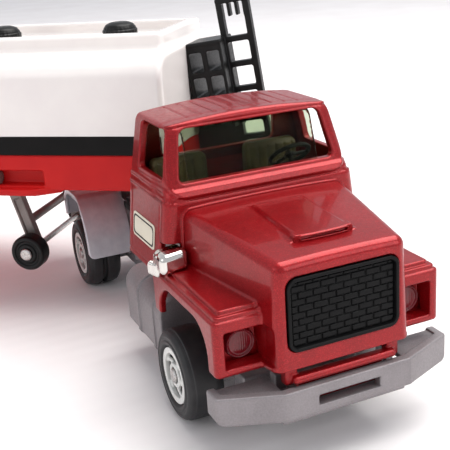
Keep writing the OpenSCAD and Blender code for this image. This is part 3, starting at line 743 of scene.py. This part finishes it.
def interior_field(x, y, z):
    a = abs(y)
    across = a - SEAT_Y
    pleats = 0.55 * abs(np.cos(across * math.pi / 2.05)) ** 0.6
    seat = flat_box(across, z, (-SEAT_HALF, 35), (SEAT_HALF, 39.8), 0.8)
    cushion = cut(cut(seat + 0.35 - pleats, slab(x, -17.4, 4.9), 0.9), 34.8 - z)
    back_low = flat_box(across, z, (-SEAT_HALF, 35), (SEAT_HALF, SEAT_TOP), 1.3)
    face = -21.2 + (SEAT_TOP - z) * 0.05 + pleats * ease(48.0 - z, 0, 0.8)
    back = cut(cut(back_low, x - face, 0.7), -23.4 - x, 0.5)
    seats = join(cushion, back, 0.5)
    floor = box_field(x, y, z, (-24.3, -17.4, 33.8), (-5.2, 17.4, 35.2), 0.3)
    dash = box_field(x, y, z, (-8.5, -17.4, 34.6), (-5.3, 17.4, 45.3), 0.9)
    hood = cut(hypot(x + 7.6, z - 44.6) - 1.2, slab(y, SEAT_Y, 4.2), 0.8)
    pegs = box_field(x, a, z, (-22.6, 12, 29.9), (-19.4, 14, 34.2), 0.2)
    return join(join(join(seats, floor, 0.4), dash, 0.4), join(hood, pegs), 0.3)


def steering_field(x, y, z):
    u, w = leaned(x + 12.3, z - 46.9, math.radians(40))
    v = y - SEAT_Y
    radius = hypot(u, v)
    rim = hypot(radius - 4.3, w) - 0.48
    hub = cut(radius - 1.1, abs(w) - 0.45, 0.25)
    column = cut(radius - 0.6, slab(w, -1.8, 1.7), 0.1)
    body = join(join(rim, hub, 0.1), column, 0.2)
    for angle in (90, 210, 330):
        c, s = math.cos(math.radians(angle)), math.sin(math.radians(angle))
        along, across = u * c + v * s, v * c - u * s
        spoke = cut(hypot(across / 1.3, w) - 0.36, slab(along, 2.5, 1.8))
        body = join(body, spoke, 0.2)
    return body


def intake_field(x, y, z):
    """Rounded plated block beside the bonnet, with a ribbed tail behind and below it."""
    a = abs(y)
    swell = 0.12 * ease(x, -3.6, -2.4)
    block = box_field(x, a, z + 0.12 * (a - 20), (-5.7, 18.5, 31.3), (0.15, 24.1, 35.35), 1.3) - swell
    ribs = 0.14 * np.cos((x + 8.2) * 2 * math.pi / 0.95)
    tail = box_field(x, a, z - 0.2 * (x + 3), (-8.3, 22.4, 29.9), (-2.6, 24.35, 32.6), 0.6)
    return join(block, tail + ribs * ease(a, 22.6, 23.2), 0.4)


LABEL_Z = 35.8
DOOR_HALF = 22.9
DOOR_LEAN = math.atan2(1.8, 15.7)


def label_field(x, y, z, grow=0.0, low=0.0, high=0.2):
    """A door label's plate, from low to high above the leaning side of the cab."""
    a = abs(y) - (DOOR_HALF - (LABEL_Z - CAB_BOTTOM) * math.tan(DOOR_LEAN))
    out, up = leaned(a, z - LABEL_Z, DOOR_LEAN)
    outline = flat_box(x, up, (-21.7 - grow, -2.6 - grow), (-8.7 + grow, 2.6 + grow), 1.0)
    return cut(cut(outline, out - high, 0.06), low - out)


def label_line_field(x, y, z):
    """A thin line inside the label's edge."""
    return remove(label_field(x, y, z, -0.45, 0.1, 0.27), label_field(x, y, z, -0.8, 0.0, 1.0))


def make_cab_fittings():
    cast("cab_windows", glazing_field, grid((CAB_BACK, -21.5, 45.3), (-2, 21.5, 58.2), finer(0.3)),
         ON_TRACTOR, WINDOW, ("cab_glazing",), keep=0.6)
    cast("seats_and_dash", interior_field, grid((-24.8, -18, 29.4), (-4.8, 18, 49.2), 0.3),
         ON_TRACTOR, SEAT, ("cab_interior",), keep=0.5)
    wheel_box = (-16.6, SEAT_Y - 5.4, 43), (-8, SEAT_Y + 5.4, 51.4)
    cast("steering_wheel_rim", steering_field, grid(*wheel_box, 0.16),
         ON_TRACTOR, BLACK, ("steering_wheel",), keep=0.5)
    cast("plated_intakes", intake_field, grid((-8.7, 18.1, 28.8), (0.4, 24.8, 35.8), 0.15),
         ON_TRACTOR, PLATED, ("air_intakes",), both=True)
    label_box = (-22.2, 21.4, 32.8), (-8.2, 22.9, 38.8)
    cast("door_label_plates", label_field, grid(*label_box, (0.12, 0.06, 0.12)),
         ON_TRACTOR, LABEL, ("door_labels",), keep=0.4, both=True)
    cast("door_label_lines", label_line_field, grid(*label_box, (0.1, 0.06, 0.1)),
         ON_TRACTOR, BLACK, both=True)


# ------------------------------------------------------------------ tractor chassis

BUMPER_STRAIGHT = 13.1
GUARD_LOW = 11.6
CHASSIS_HOLES = (-50, 8)


def bumper_field(x, a, z):
    """The front bumper, whose ends sweep back beyond its straight middle."""
    steepness = np.where(a > BUMPER_STRAIGHT, 0.926, 1)
    swept = (x + maximum(a - BUMPER_STRAIGHT, 0) * 0.409) * steepness - 28.5 * steepness
    bar = cut(cut(swept, a - 24.55, 0.5), slab(z, 13.4, 2.8), 0.35)
    bar = cut(bar, 19.5 - x, 0.3)
    bar = remove(bar, cut(swept + 1.9, a - 22.9, 0.3), 0.15)
    bar = remove(bar, box_field(x, a, z, (24, -8, 12.2), (31, 6.4, 14.15), 0.15), 0.12)
    bar = cut(bar, (a - z - 13.0) * 0.7, 0.25)
    shelf = cut(cut(swept + 1.2, 19.6 - x, 0.2), slab(z, 15.2, 0.5), 0.15)
    shelf = cut(cut(shelf, 12.6 - a, 0.2), a - 23.2)
    return join(bar, shelf, 0.2)


def fuel_tank_field(a, z, grow=0.0):
    """Section of a fuel tank, with a round upper and a bevelled lower corner."""
    top = hypot(maximum(a - 18, 0), maximum(z - 17.4, 0)) - 4 - grow
    side = maximum(a - 22 - grow, z - 21.4 - grow)
    tank = cut(cut(maximum(side, top), 7.0 - z, 0.6), 9 - a)
    return maximum(tank, (a - 22 - grow + 8.6 - z) * 0.7)


CHASSIS_BLOCKS = (
    # Floor behind the front axle, front arms and bumper's posts
    ((-30, -14, 7), (-14, 14, 9.6)), ((14, 8, 7), (21.2, 14.2, 9.6)),
    ((20, -13, 9), (26.8, 13, 11.4)), ((19.6, 12.4, 7.6), (21.2, 14.2, 15.8)),
    # Rails, and posts under the cab
    ((-92, 6.6, 9), (-22, 9, 22.4)), ((-30, 6.6, 9), (16, 9, 13)),
    ((9.8, 8.4, 9), (14.2, 14.8, 13.1)), ((-25, 8.4, 9), (-20.6, 12.6, 22.7)),
    # Axle blocks
    ((-3.4, -15.2, 7), (3.4, 15.2, 13)), ((REAR_AXLE_X - 3.4, -11, 7), (REAR_AXLE_X + 3.4, 11, 13)),
    # Cross members
    ((-60, -9, 18), (-57, 9, 22.4)), ((-92, -9, 9), (-90, 9, 22.4)), ((-36, -9, 18), (-33, 9, 22.4)))


def join_blocks(body, x, y, z, blocks, r, fill):
    """The body joined with each block of (low, high)."""
    for low, high in blocks:
        body = join(body, box_field(x, y, z, low, high, r), fill)
    return body


def chassis_field(x, y, z):
    a = abs(y)
    body = box_field(x, a, z, (-92, -9, 7), (21.2, 9, 9.6), 0.35)
    body = join_blocks(body, x, a, z, CHASSIS_BLOCKS, 0.3, 0.25)
    tank = cut(fuel_tank_field(a, z), slab(x, -22.5, 11.5), 0.5)
    for strap in (-25.4, -15.4):
        tank = join(tank, cut(fuel_tank_field(a, z, 0.35), slab(x, strap, 0.6), 0.15), 0.1)
    body = join(body, tank, 0.3)
    webs = [((web - 0.4, 8.8, 9.3), (web + 0.4, 9.7, 20)) for web in (-48, -54, -66, -72)]
    body = join_blocks(body, x, a, z, webs, 0.2, 0.2)
    body = join(body, bumper_field(x, a, z), 0.3)
    for hole in CHASSIS_HOLES:
        body = remove(body, cut(hypot(x - hole, y) - 1.65, z - 11))
    return body


def guard_side(x, z):
    """Side outline of the space under a mudguard: nearly upright in front, sloping away behind."""
    dx = x - REAR_AXLE_X
    front = dx - 12.95 + 7 * (np.clip(z - 12.5, 0, 16) / 15) ** 2
    back = -dx - 9.4
    top = z - interp(dx, [-9.4, -4, 6, 12], [26.2, 27.3, 27.5, 24.5])
    return cut(cut(front * 0.93, top, 2.2), back, 3.5)


def guard_field(x, y, z):
    """A mudguard: a bent sheet over the wheel, with rounded corners and a turned-in outer edge."""
    a = abs(y)
    side = guard_side(x, z)
    reach = flat_box(a, z, (9.6, GUARD_LOW), (21.8, 34), 1.8)
    behind = minimum(18.9 - z, REAR_AXLE_X - x)
    outline = maximum(reach, behind)
    sheet = cut(slab(side, -0.45, 0.45), outline, 0.25)
    lip = cut(cut(slab(side, -0.8, 0.7), slab(a, 21.35, 0.4), 0.2), outline)
    brackets = box_field(x, a, z, (REAR_AXLE_X - 6, 9.2, 21.4), (REAR_AXLE_X + 6, 10, 27.0), 0.2)
    return join(join(sheet, lip, 0.15), brackets, 0.3)


def fifth_wheel_field(x, y, z):
    dx = x - KINGPIN_X
    a = abs(y)
    plate = cut(hypot(dx, y) - 10.5, slab(z, 29.5, 1.1), 0.35)
    plate = remove(plate, cut(cut(a - 2.2, dx + 2, 0.3), -20 - dx), 0.2)
    grease = 0.2 * ease(np.cos(np.arctan2(y, dx) * 8), 0.6, 0.9) * ease(hypot(dx, y), 4, 5) * (z > 30)
    block = box_field(dx, a, z, (-3.9, -6, 23), (8, 6, 29), 0.4)
    block = join(block, box_field(dx, a, z, (-4.5, -9, 22.5), (8.5, 9, 24.4), 0.3), 0.3)
    block = join(block, box_field(dx, a, z, (-2, -9, 22.5), (8.5, 9, 26), 0.4), 0.3)
    body = join(plate + grease, block, 0.5)
    return remove(body, cut(hypot(dx, y) - 2.1, 24.6 - z), 0.15)


def rivet(name, part, x, z, r, nodes, up=1):
    """A domed rivet head; up stretches it, and a negative up points it downwards."""
    profile = [(0, 0), (r, 0), (r, 0.5), (r * 0.8, 1.0), (r * 0.35, 1.25), (0, 1.3)]
    place, body = part
    place = place @ Matrix.Translation((x, 0, z)) @ Matrix.Diagonal((1, 1, up, 1))
    lathe(name, profile, (place, body), STEEL, nodes, r=0.3, segments=40)


def make_chassis():
    cast("chassis_casting", chassis_field, grid((-92.6, -25, 6.4), (29, 25, 23.2), finer(0.36)),
         ON_TRACTOR, CAST_GREY, ("tractor_chassis",), keep=0.4)
    cast("mudguard_sheets", guard_field,
         grid((REAR_AXLE_X - 13.5, 8.6, 11), (REAR_AXLE_X + 13.6, 22.4, 28.2), finer(0.26)),
         ON_TRACTOR, GUARD_GREY, ("rear_mudguards",), keep=0.5, both=True)
    cast("turntable", fifth_wheel_field, grid((KINGPIN_X - 11, -11, 22), (KINGPIN_X + 11, 11, 31), 0.32),
         ON_TRACTOR, BLACK, ("fifth_wheel",), keep=0.5)
    rivet("chassis_rivet_front", ON_TRACTOR, CHASSIS_HOLES[1], 9.4, 2.4, ("chassis_rivets",))
    rivet("chassis_rivet_rear", ON_TRACTOR, CHASSIS_HOLES[0], 9.4, 2.4, ())
    shaft("front_axle_rod", ON_TRACTOR, 0, TYRE_R, 23.6, 1.0, ("front_axle",))
    shaft("rear_axle_rod", ON_TRACTOR, REAR_AXLE_X, TYRE_R, 20.9, 1.0, ("rear_axle",))


# ------------------------------------------------------------------ wheels
DISC_R = 6.0
BORE_R = 1.06
SPOKES = 5
SIDES = (("right", -1), ("left", 1))
BOGIE_AXLES = [(row, on_trailer(f"trailer_{row}_axle").x) for row in ("front", "rear")]


def tyre_profile(width, double):
    """Outline of a tyre as (radius, depth); a double tyre has a groove round its middle."""
    outer = [(DISC_R, 0.7), (DISC_R + 0.5, 0.05), (7.1, 0.05), (7.3, 0.24), (7.9, 0.26), (8.1, 0.12),
             (8.6, 0.28), (9.1, 0.8), (9.3, 1.5), (9.44, 1.62), (TYRE_R, 2.1)]
    inner = [(TYRE_R, width - 2.1), (9.3, width - 1.3), (9.0, width - 0.7), (8.2, width - 0.1),
             (DISC_R, width)]
    middle_depth = width / 2
    groove = [(TYRE_R, middle_depth - 0.75), (8.4, middle_depth - 0.4), (8.4, middle_depth + 0.4),
              (TYRE_R, middle_depth + 0.75)]
    return outer + (groove if double else []) + inner


def print_field(u, v, h):
    """Raised bright face of a wheel: two rings joined by wavy spokes. h runs outward from the disc."""
    radius, angle = hypot(u, v), np.arctan2(v, u)
    ring = cut(slab(radius, 5.25, 0.62), slab(h, 0.55, 0.55), 0.14)
    eye = cut(slab(radius, 2.15, 0.42), slab(h, 0.45, 0.45), 0.14)
    turn = angle + 0.2 * np.sin((radius - 2.2) * 2.1)
    period = 2 * math.pi / SPOKES
    across = ((turn + period / 2) % period - period / 2) * radius
    width = 0.55 + 0.3 * ((radius - 3.6) / 1.2) ** 2
    spoke = cut(cut(abs(across) - width, slab(radius, 3.6, 1.5)), slab(h, 0.3, 0.3), 0.14)
    return join(join(ring, eye, 0.1), spoke, 0.22)


def wheel(name, nodes, place, x, out, width, side, double):
    """A tyre, its disc and bright spokes; nodes is the pattern of its CAD nodes' names."""
    face, body = outward(place, x, side * out, TYRE_R, side), name + "_wheel"
    tyre = [(r, -depth) for r, depth in tyre_profile(width, double)]
    lathe(name + "_tyre_vinyl", tyre, (face, body), TYRE, (nodes.format("tyre"),), r=0.25, closed=True)
    disc = [(BORE_R, -1.5), (1.9, -1.5), (2.4, -1.9), (4.6, -1.9), (4.8, -1.4), (DISC_R, -1.2),
            (DISC_R, -width), (4.8, -width), (4.8, 2.4 - width), (2.4, 2.4 - width), (2.4, -width - 0.5),
            (BORE_R, -width - 0.5)]
    lathe(name + "_disc", disc, (face, body), WHEEL_BLACK, r=0.15, closed=True)
    spokes = (face @ Matrix.Translation((0, 0, -1.45)), body)
    cast(name + "_spokes", print_field, grid((-6.1, -6.1, -0.3), (6.1, 6.1, 1.4), finer(0.17)),
         spokes, WHITE_PRINT, (nodes.format("hub"),))


def make_wheels():
    for row, x, out, width in (("front", 0, 24.2, 8), ("rear", REAR_AXLE_X, 21.5, 9.5)):
        for hand, side in SIDES:
            wheel(f"{row}_{hand}", f"{row}_{{}}_{hand}", TRUCK, x, out, width, side, row == "rear")
    for row, x in BOGIE_AXLES:
        for hand, side in SIDES:
            wheel(f"trailer_{row}_{hand}", f"trailer_{{}}_{row}_{hand}", TRAILER, x, 23.0, 9.5, side, True)


# ------------------------------------------------------------------ trailer
TANK_FRONT = 12.8
TANK_BACK = -195.0
TANK_HALF = 25.6
BASE_BOTTOM = 34.35
SHELL_BOTTOM = 43.3
BAND_TOP = 48.1
SHOULDER = 68.4
COAMING = 70.9
RUNG_PITCH = 6.3
CAPS = 6
CAP_PITCH = 33.5
FIRST_CAP = -6.5
CAP_X = [FIRST_CAP - i * CAP_PITCH for i in range(CAPS)]
PIPE_BACK, PIPE_FRONT = TANK_BACK + 30, -33.0
# The landing gear's pivot and its wheels' axle
FOLD_X, FOLD_Z = -36.2, 31.4
LANDING_X, LANDING_Z = -31.7, 14.5


def between(v, low, high):
    """The space from low to high in one direction."""
    return abs(v - (high + low) / 2) - (high - low) / 2


def tank_outline(a, z, shrink=0.0):
    """Section of the tank above its base: upright sides, a round shoulder and a sloping top."""
    corner = hypot(maximum(a - 20, 0), maximum(z - 61.4, 0)) - 5.6
    slope_top = (z - 68.4 + (a - 16) * 0.30) * 0.958
    return cut(maximum(maximum(a - TANK_HALF, corner), z - SHOULDER - 0.1), slope_top, 0.4) + shrink


def tank_field(x, y, z):
    """The tank's shell with its coaming, the trough along the top and the filler caps' holes."""
    a = abs(y)
    length = between(x, TANK_BACK, TANK_FRONT)
    shell = cut(tank_outline(a, z), length, 1.3)
    shell = cut(shell, SHELL_BOTTOM + 0.02 - z, 0.15)
    rim = cut(cut(a - 16, length + 2.2, 1.5), z - COAMING, 0.9)
    shell = join(shell, cut(rim, SHELL_BOTTOM + 2 - z), 1.4)
    trough = cut(cut(a - 13.4, length + 5.0, 1.5), SHOULDER - 0.6 - z, 0.8)
    shell = remove(shell, trough, 0.5)
    inside = cut(cut(tank_outline(a, z, 1.5), z - (SHOULDER - 2.1)), length + 1.5, 0.5)
    shell = remove(shell, inside, 0.1)
    hole = (x - FIRST_CAP + CAP_PITCH / 2) % CAP_PITCH - CAP_PITCH / 2
    return remove(shell, cut(cut(hypot(hole, y) - 2.0, 60 - z), TANK_BACK + 15 - x))


def base_field(x, y, z):
    """The red base: side recesses, ledges, a boss round the kingpin and the landing gear's lugs."""
    a = abs(y)
    length = between(x, TANK_BACK, TANK_FRONT)
    height = abs(z - (BASE_BOTTOM + SHELL_BOTTOM) / 2) - 4.475
    form = cut(cut(a - TANK_HALF + 0.05, length, 1.2), height, 0.35)
    recess = cut(cut(22.6 - a, cut(x + 20.5, TANK_BACK + 8 - x, 0.6), 0.3), slab(z, 37.4, 1.95), 0.5)
    form = remove(form, recess, 0.3)
    slant = (x + 19.0 + maximum(a - TANK_HALF, -1.5) * 1.6) * 0.7
    ledge = cut(cut(a - TANK_HALF - 2.2, slant, 0.8), TANK_BACK + 6 - x, 0.5)
    ledge = cut(cut(ledge, 21.5 - a), slab(z, 34.2, 0.85), 0.3)
    form = join(form, ledge, 0.25)
    boss = cut(cut(hypot(x, y) - 9.5, 31.0 - z, 0.25), z - 36)
    form = join(form, boss, 0.2)
    form = join(form, box_field(x, a, z, (-38.6, 8.6, 29.0), (-33.8, 11.8, 35.4), 0.5), 0.3)
    inside = cut(cut(a - 21.1, length + 3, 0.5), BASE_BOTTOM + 2 - z, 0.3)
    form = remove(form, inside, 0.2)
    form = remove(form, hypot(x - FOLD_X, z - FOLD_Z) - 0.95)
    return remove(form, hypot(x, y) - 2.05)


def band_field(x, y, z):
    """A thin stripe along the side of the tank."""
    a = abs(y)
    edge = flat_box(x, z, (TANK_BACK + 0.6, SHELL_BOTTOM + 0.1), (TANK_FRONT - 1.2, BAND_TOP), 0.3)
    return cut(edge, abs(a - TANK_HALF - 0.055) - 0.065, 0.02)


def ladder_field(x, y, z):
    """Ladder and its stand: u runs across the ladder and w up it."""
    u, w = leaned(x - TANK_FRONT + 1.6, z - 54, math.radians(7))
    a = abs(y)
    plate = join(flat_box(u, w, (11.2, -20), (19.6, 21.6), 0.8), flat_box(u, w, (0, -20), (12, 12), 0.4), 0.2)
    for rung in range(6):
        low = -17.9 + rung * RUNG_PITCH - 1.6
        plate = remove(plate, flat_box(u, w, (12.7, low), (18.1, low + 4.9), 0.5), 0.15)
    for slot in range(3):
        plate = remove(plate, flat_box(u, w, (12.7 + slot * 2, 13.6), (14.0 + slot * 2, 20.2), 0.3), 0.12)
    ladder = cut(plate, a - 1.2, 0.25)
    stand = cut(flat_box(u, w, (2.2, -10), (12, 12), 0.5), a - 5.5, 0.35)
    body = join(ladder, stand, 0.3)
    for column in (3.4, 8.0):
        for row in range(3):
            low = -7.8 + row * RUNG_PITCH
            body = remove(body, flat_box(u, w, (column, low), (column + 3.2, low + 4.9), 0.5), 0.2)
    head = cut(flat_box(u, w, (11.2, 20.2), (19.6, 21.6), 0.6), a - 2.1, 0.5)
    deck = cut(flat_box(u, w, (2.0, 11.2), (19.6, 12.2), 0.4), a - 5.6, 0.35)
    body = join(join(body, cut(head, a - 1.2), 0.2), cut(deck, u - 12), 0.2)
    return cut(body, TANK_FRONT + 0.02 - x, 0.1)


def bogie_field(x, y, z):
    """The bogie's frame with its axle blocks and leaf springs, and the rear bumper."""
    a = abs(y)
    body = box_field(x, a, z, (-190, -12, BASE_BOTTOM - 4), (-136, 12, BASE_BOTTOM - 0.05), 0.4)
    bars = (((-180, 8.4, 7), (-138, 11.4, 31.3)), ((-162, -9, 12), (-156, 9, 31.3)),
            ((-190, 9, 18), (-188, 11, BASE_BOTTOM - 0.05)), ((-191, -22, 15), (-188, 22, 18.4)))
    body = join_blocks(body, x, a, z, bars, 0.4, 0.3)
    for _, axle in BOGIE_AXLES:
        body = join(body, box_field(x, a, z, (axle - 2.6, 8.4, 7), (axle + 2.6, 12.4, 14), 0.4), 0.4)
        spring = cut(abs(hypot(x - axle, z - 4) - 15.5) - 0.7, slab(a, 12.1, 0.7), 0.2)
        body = join(body, cut(cut(spring, 12 - z), abs(x - axle) - 8.4, 0.2), 0.2)
    return body


def pipe_field(x, y, z):
    """A stored delivery pipe with three collars."""
    radius = hypot(abs(y) - 24.35, z - BASE_BOTTOM - 2.95)
    body = cut(radius - 1.3, between(x, PIPE_BACK, PIPE_FRONT), 0.3)
    for collar in (PIPE_BACK + 1.25, (PIPE_BACK + PIPE_FRONT) / 2, PIPE_FRONT - 1.25):
        body = join(body, cut(radius - 1.75, slab(x, collar, 1.25), 0.3), 0.1)
    return body


def tank_lines(fine):
    """Grid lines along the tank: fine at its ends and round the caps' holes, long between them."""
    stretches = [(TANK_BACK - 0.6, TANK_BACK + 11, fine)]
    at = TANK_BACK + 11
    for hole in reversed(CAP_X):
        if hole - 2.6 > at:
            stretches.append((at, hole - 2.6, 2.5))
        stretches.append((max(at, hole - 2.6), hole + 2.6, fine))
        at = hole + 2.6
    front = TANK_FRONT - 11
    return stretched_steps(*stretches, (at, front, 2.5), (front, TANK_FRONT + 0.6, fine))


def make_trailer():
    fine = finer(0.4)
    cast("tank_skin", tank_field, (tank_lines(fine), steps(-26.4, 26.4, fine), steps(42.6, 71.6, fine)),
         ON_TRAILER, TANK_WHITE, ("tank_shell",))
    base_x = stretched_steps((TANK_BACK - 0.6, TANK_BACK + 10, fine), (TANK_BACK + 10, -40, 2.5),
                             (-40, -17, fine), (-17, -10, 1.0), (-10, TANK_FRONT + 0.6, fine))
    cast("base_moulding", base_field, (base_x, steps(-28.4, 28.4, fine), steps(28.4, 43.9, fine)),
         ON_TRAILER, TANK_RED, ("trailer_base",))
    band_x = stretched_steps((TANK_BACK, TANK_BACK + 2, 0.2), (TANK_BACK + 2, TANK_FRONT - 2.4, 4),
                             (TANK_FRONT - 2.4, TANK_FRONT, 0.2))
    band_y = steps(TANK_HALF - 0.09, TANK_HALF + 0.21, 0.03)
    cast("side_stripes", band_field, (band_x, band_y, steps(43, 48.6, 0.2)),
         ON_TRAILER, BAND, ("side_bands",), both=True)
    cast("ladder_and_stand", ladder_field, grid((12.2, -6.2, 32.4), (34.6, 6.2, 78.6), finer(0.28)),
         ON_TRAILER, BLACK, ("front_ladder",), keep=0.5)
    bogie_x = stretched_steps((-191.6, -136, 0.5))
    cast("bogie_casting", bogie_field, (bogie_x, steps(-22.6, 22.6, 0.5), steps(6.4, 35, 0.5)),
         ON_TRAILER, CAST_GREY, ("bogie_frame",), keep=0.5)
    middle_x = (TANK_BACK - 3) / 2
    pipe_x = stretched_steps((-166, -161, 0.3), (-161, middle_x - 2, 4), (middle_x - 2, middle_x + 2, 0.3),
                             (middle_x + 2, -37, 4), (-37, -32, 0.3))
    cast("side_pipes", pipe_field, (pipe_x, steps(22.3, 26.5, 0.2), steps(35.2, 39.4, 0.2)),
         ON_TRAILER, PIPE, ("delivery_pipes",), both=True)
    cap = [(0, -1.4), (1.85, -1.4), (1.85, 0.0), (4.4, 0.0), (4.5, 2.4), (4.2, 2.6), (4.15, 2.9), (3.6, 3.8),
           (2.2, 4.35), (0, 4.5)]
    for i, x in enumerate(CAP_X):
        place = TRAILER @ Matrix.Translation((x, 0, SHOULDER - 0.6))
        lathe(f"filler_cap_{i + 1}", cap, (place, "trailer"), BLACK, () if i else ("filler_caps",),
              r=0.4, ribs=24, rib_depth=0.07, rib_from=4.0)
    pin = [(0, 25.4), (1.6, 25.4), (2.0, 25.9), (2.0, BASE_BOTTOM + 2), (3.0, BASE_BOTTOM + 2),
           (3.0, BASE_BOTTOM + 3), (0, BASE_BOTTOM + 3)]
    lathe("kingpin_steel", pin, ON_TRAILER, STEEL, ("kingpin",), r=0.2, segments=48)
    for i, x in enumerate((-55, -115)):
        rivet(f"base_rivet_{i + 1}", ON_TRAILER, x, BASE_BOTTOM, 2.6, () if i else ("base_rivets",), -0.68)
    for row, x in BOGIE_AXLES:
        shaft(f"trailer_{row}_axle_rod", ON_TRAILER, x, TYRE_R, 22.4, 1.0, (f"trailer_{row}_axle",))


# ------------------------------------------------------------------ landing gear

def legs_field(x, y, z):
    """The landing gear's legs, recessed between their ends, and the bar that joins them."""
    a = abs(y)
    across, up = leaned(x - FOLD_X, z - FOLD_Z, math.atan2(LANDING_X - FOLD_X, FOLD_Z - LANDING_Z))
    down = -up
    reach = math.hypot(LANDING_X - FOLD_X, FOLD_Z - LANDING_Z)
    strut = cut(abs(across) - 1.7, abs(down - reach / 2) - reach / 2)
    web = 0.55 * ease(1.1 - abs(across), 0, 0.3) * ease(down, 3.0, 3.6) * ease(reach - down, 3.0, 3.6)
    eyes = minimum(hypot(x - FOLD_X, z - FOLD_Z) - 2.1, hypot(x - LANDING_X, z - LANDING_Z) - 1.9)
    legs = cut(join(strut, eyes, 0.3), slab(a, 13.4, 1.2) + web, 0.3)
    bar = cut(hypot(x - LANDING_X + 1.9, z - LANDING_Z - 7) - 1.1, a - 13)
    legs = join(legs, bar, 0.4)
    legs = remove(legs, hypot(x - FOLD_X, z - FOLD_Z) - 0.95, 0.1)
    return remove(legs, hypot(x - LANDING_X, z - LANDING_Z) - 0.82, 0.1)


def make_landing_gear():
    part = (TRAILER, "landing_gear")
    cast("landing_struts", legs_field, grid((-39.2, -15.2, 12), (-29, 15.2, 34.2), finer(0.25)),
         part, PIPE, ("landing_legs",), keep=0.6)
    shaft("landing_pivot_rod", ON_TRAILER, FOLD_X, FOLD_Z, 15.0, 0.9, ("landing_pivot_pin",), head=0.6)
    shaft("landing_axle_rod", part, LANDING_X, LANDING_Z, 20.15, 0.8, ("landing_axle",), head=0.85)
    rim = [(0.86, 0), (2.5, 0), (2.8, -0.5), (3.3, -0.5), (3.6, 0), (4.3, -0.05), (4.8, -0.6), (4.8, -3.9),
           (4.3, -4.45), (0.86, -4.45)]
    for hand, side in SIDES:
        roller = (outward(TRAILER, LANDING_X, side * 19.8, LANDING_Z, side), f"landing_{hand}_wheel")
        lathe(f"landing_{hand}_roller", rim, roller, BLACK, (f"landing_wheel_{hand}",),
              r=0.3, segments=64, closed=True)


# ------------------------------------------------------------------ floor, lights and making

def make_floor():
    n = Nodes("pale_floor", (240, 236, 236), 0.7)
    n.colour(n.ramp(n.noise(40, 3), (0.3, (238, 234, 234)), (0.7, (244, 241, 241))))
    n.bump(n.texture("Wave", 60).outputs["Fac"], 0.25, 0.25)
    form = bmesh.new()
    bmesh.ops.create_grid(form, x_segments=2, y_segments=2, size=3.0)
    mesh = bpy.data.meshes.new("floor")
    form.to_mesh(mesh)
    form.free()
    floor = bpy.data.objects.new("floor", mesh)
    floor.location = (0, 0, GROUND * MM)
    bpy.context.scene.collection.objects.link(floor)
    mesh.materials.append(n.material)


def area_light(name, place, aim, size, watts, colour=(1, 1, 1)):
    """A soft light; place and aim are in metres in the shared frame."""
    data = bpy.data.lights.new(name, "AREA")
    data.shape = "RECTANGLE"
    data.size, data.size_y = size
    data.energy = watts
    data.color = colour
    light = bpy.data.objects.new(name, data)
    light.location = place
    light.rotation_euler = (Vector(aim) - Vector(place)).to_track_quat("-Z", "Y").to_euler()
    bpy.context.scene.collection.objects.link(light)


def make_lights():
    world = bpy.data.worlds.new("studio")
    world.use_nodes = True
    sky = world.node_tree.nodes["Background"]
    sky.inputs["Color"].default_value = (0.93, 0.95, 1.0, 1)
    sky.inputs["Strength"].default_value = 0.7
    bpy.context.scene.world = world
    bpy.context.scene.view_settings.view_transform = "Standard"
    aim = (0.05, 0, 0.03)
    area_light("overhead", (0.05, 0.25, 0.75), aim, (0.7, 0.7), 8.0, (1, 0.98, 0.95))
    area_light("front_left", (0.75, 0.45, 0.45), aim, (0.45, 0.45), 1.5)
    area_light("side_fill", (0.1, -0.85, 0.45), aim, (0.6, 0.4), 0.8)


make_cab()
make_grille()
make_cab_fittings()
make_chassis()
make_wheels()
make_trailer()
make_landing_gear()
make_floor()
make_lights()
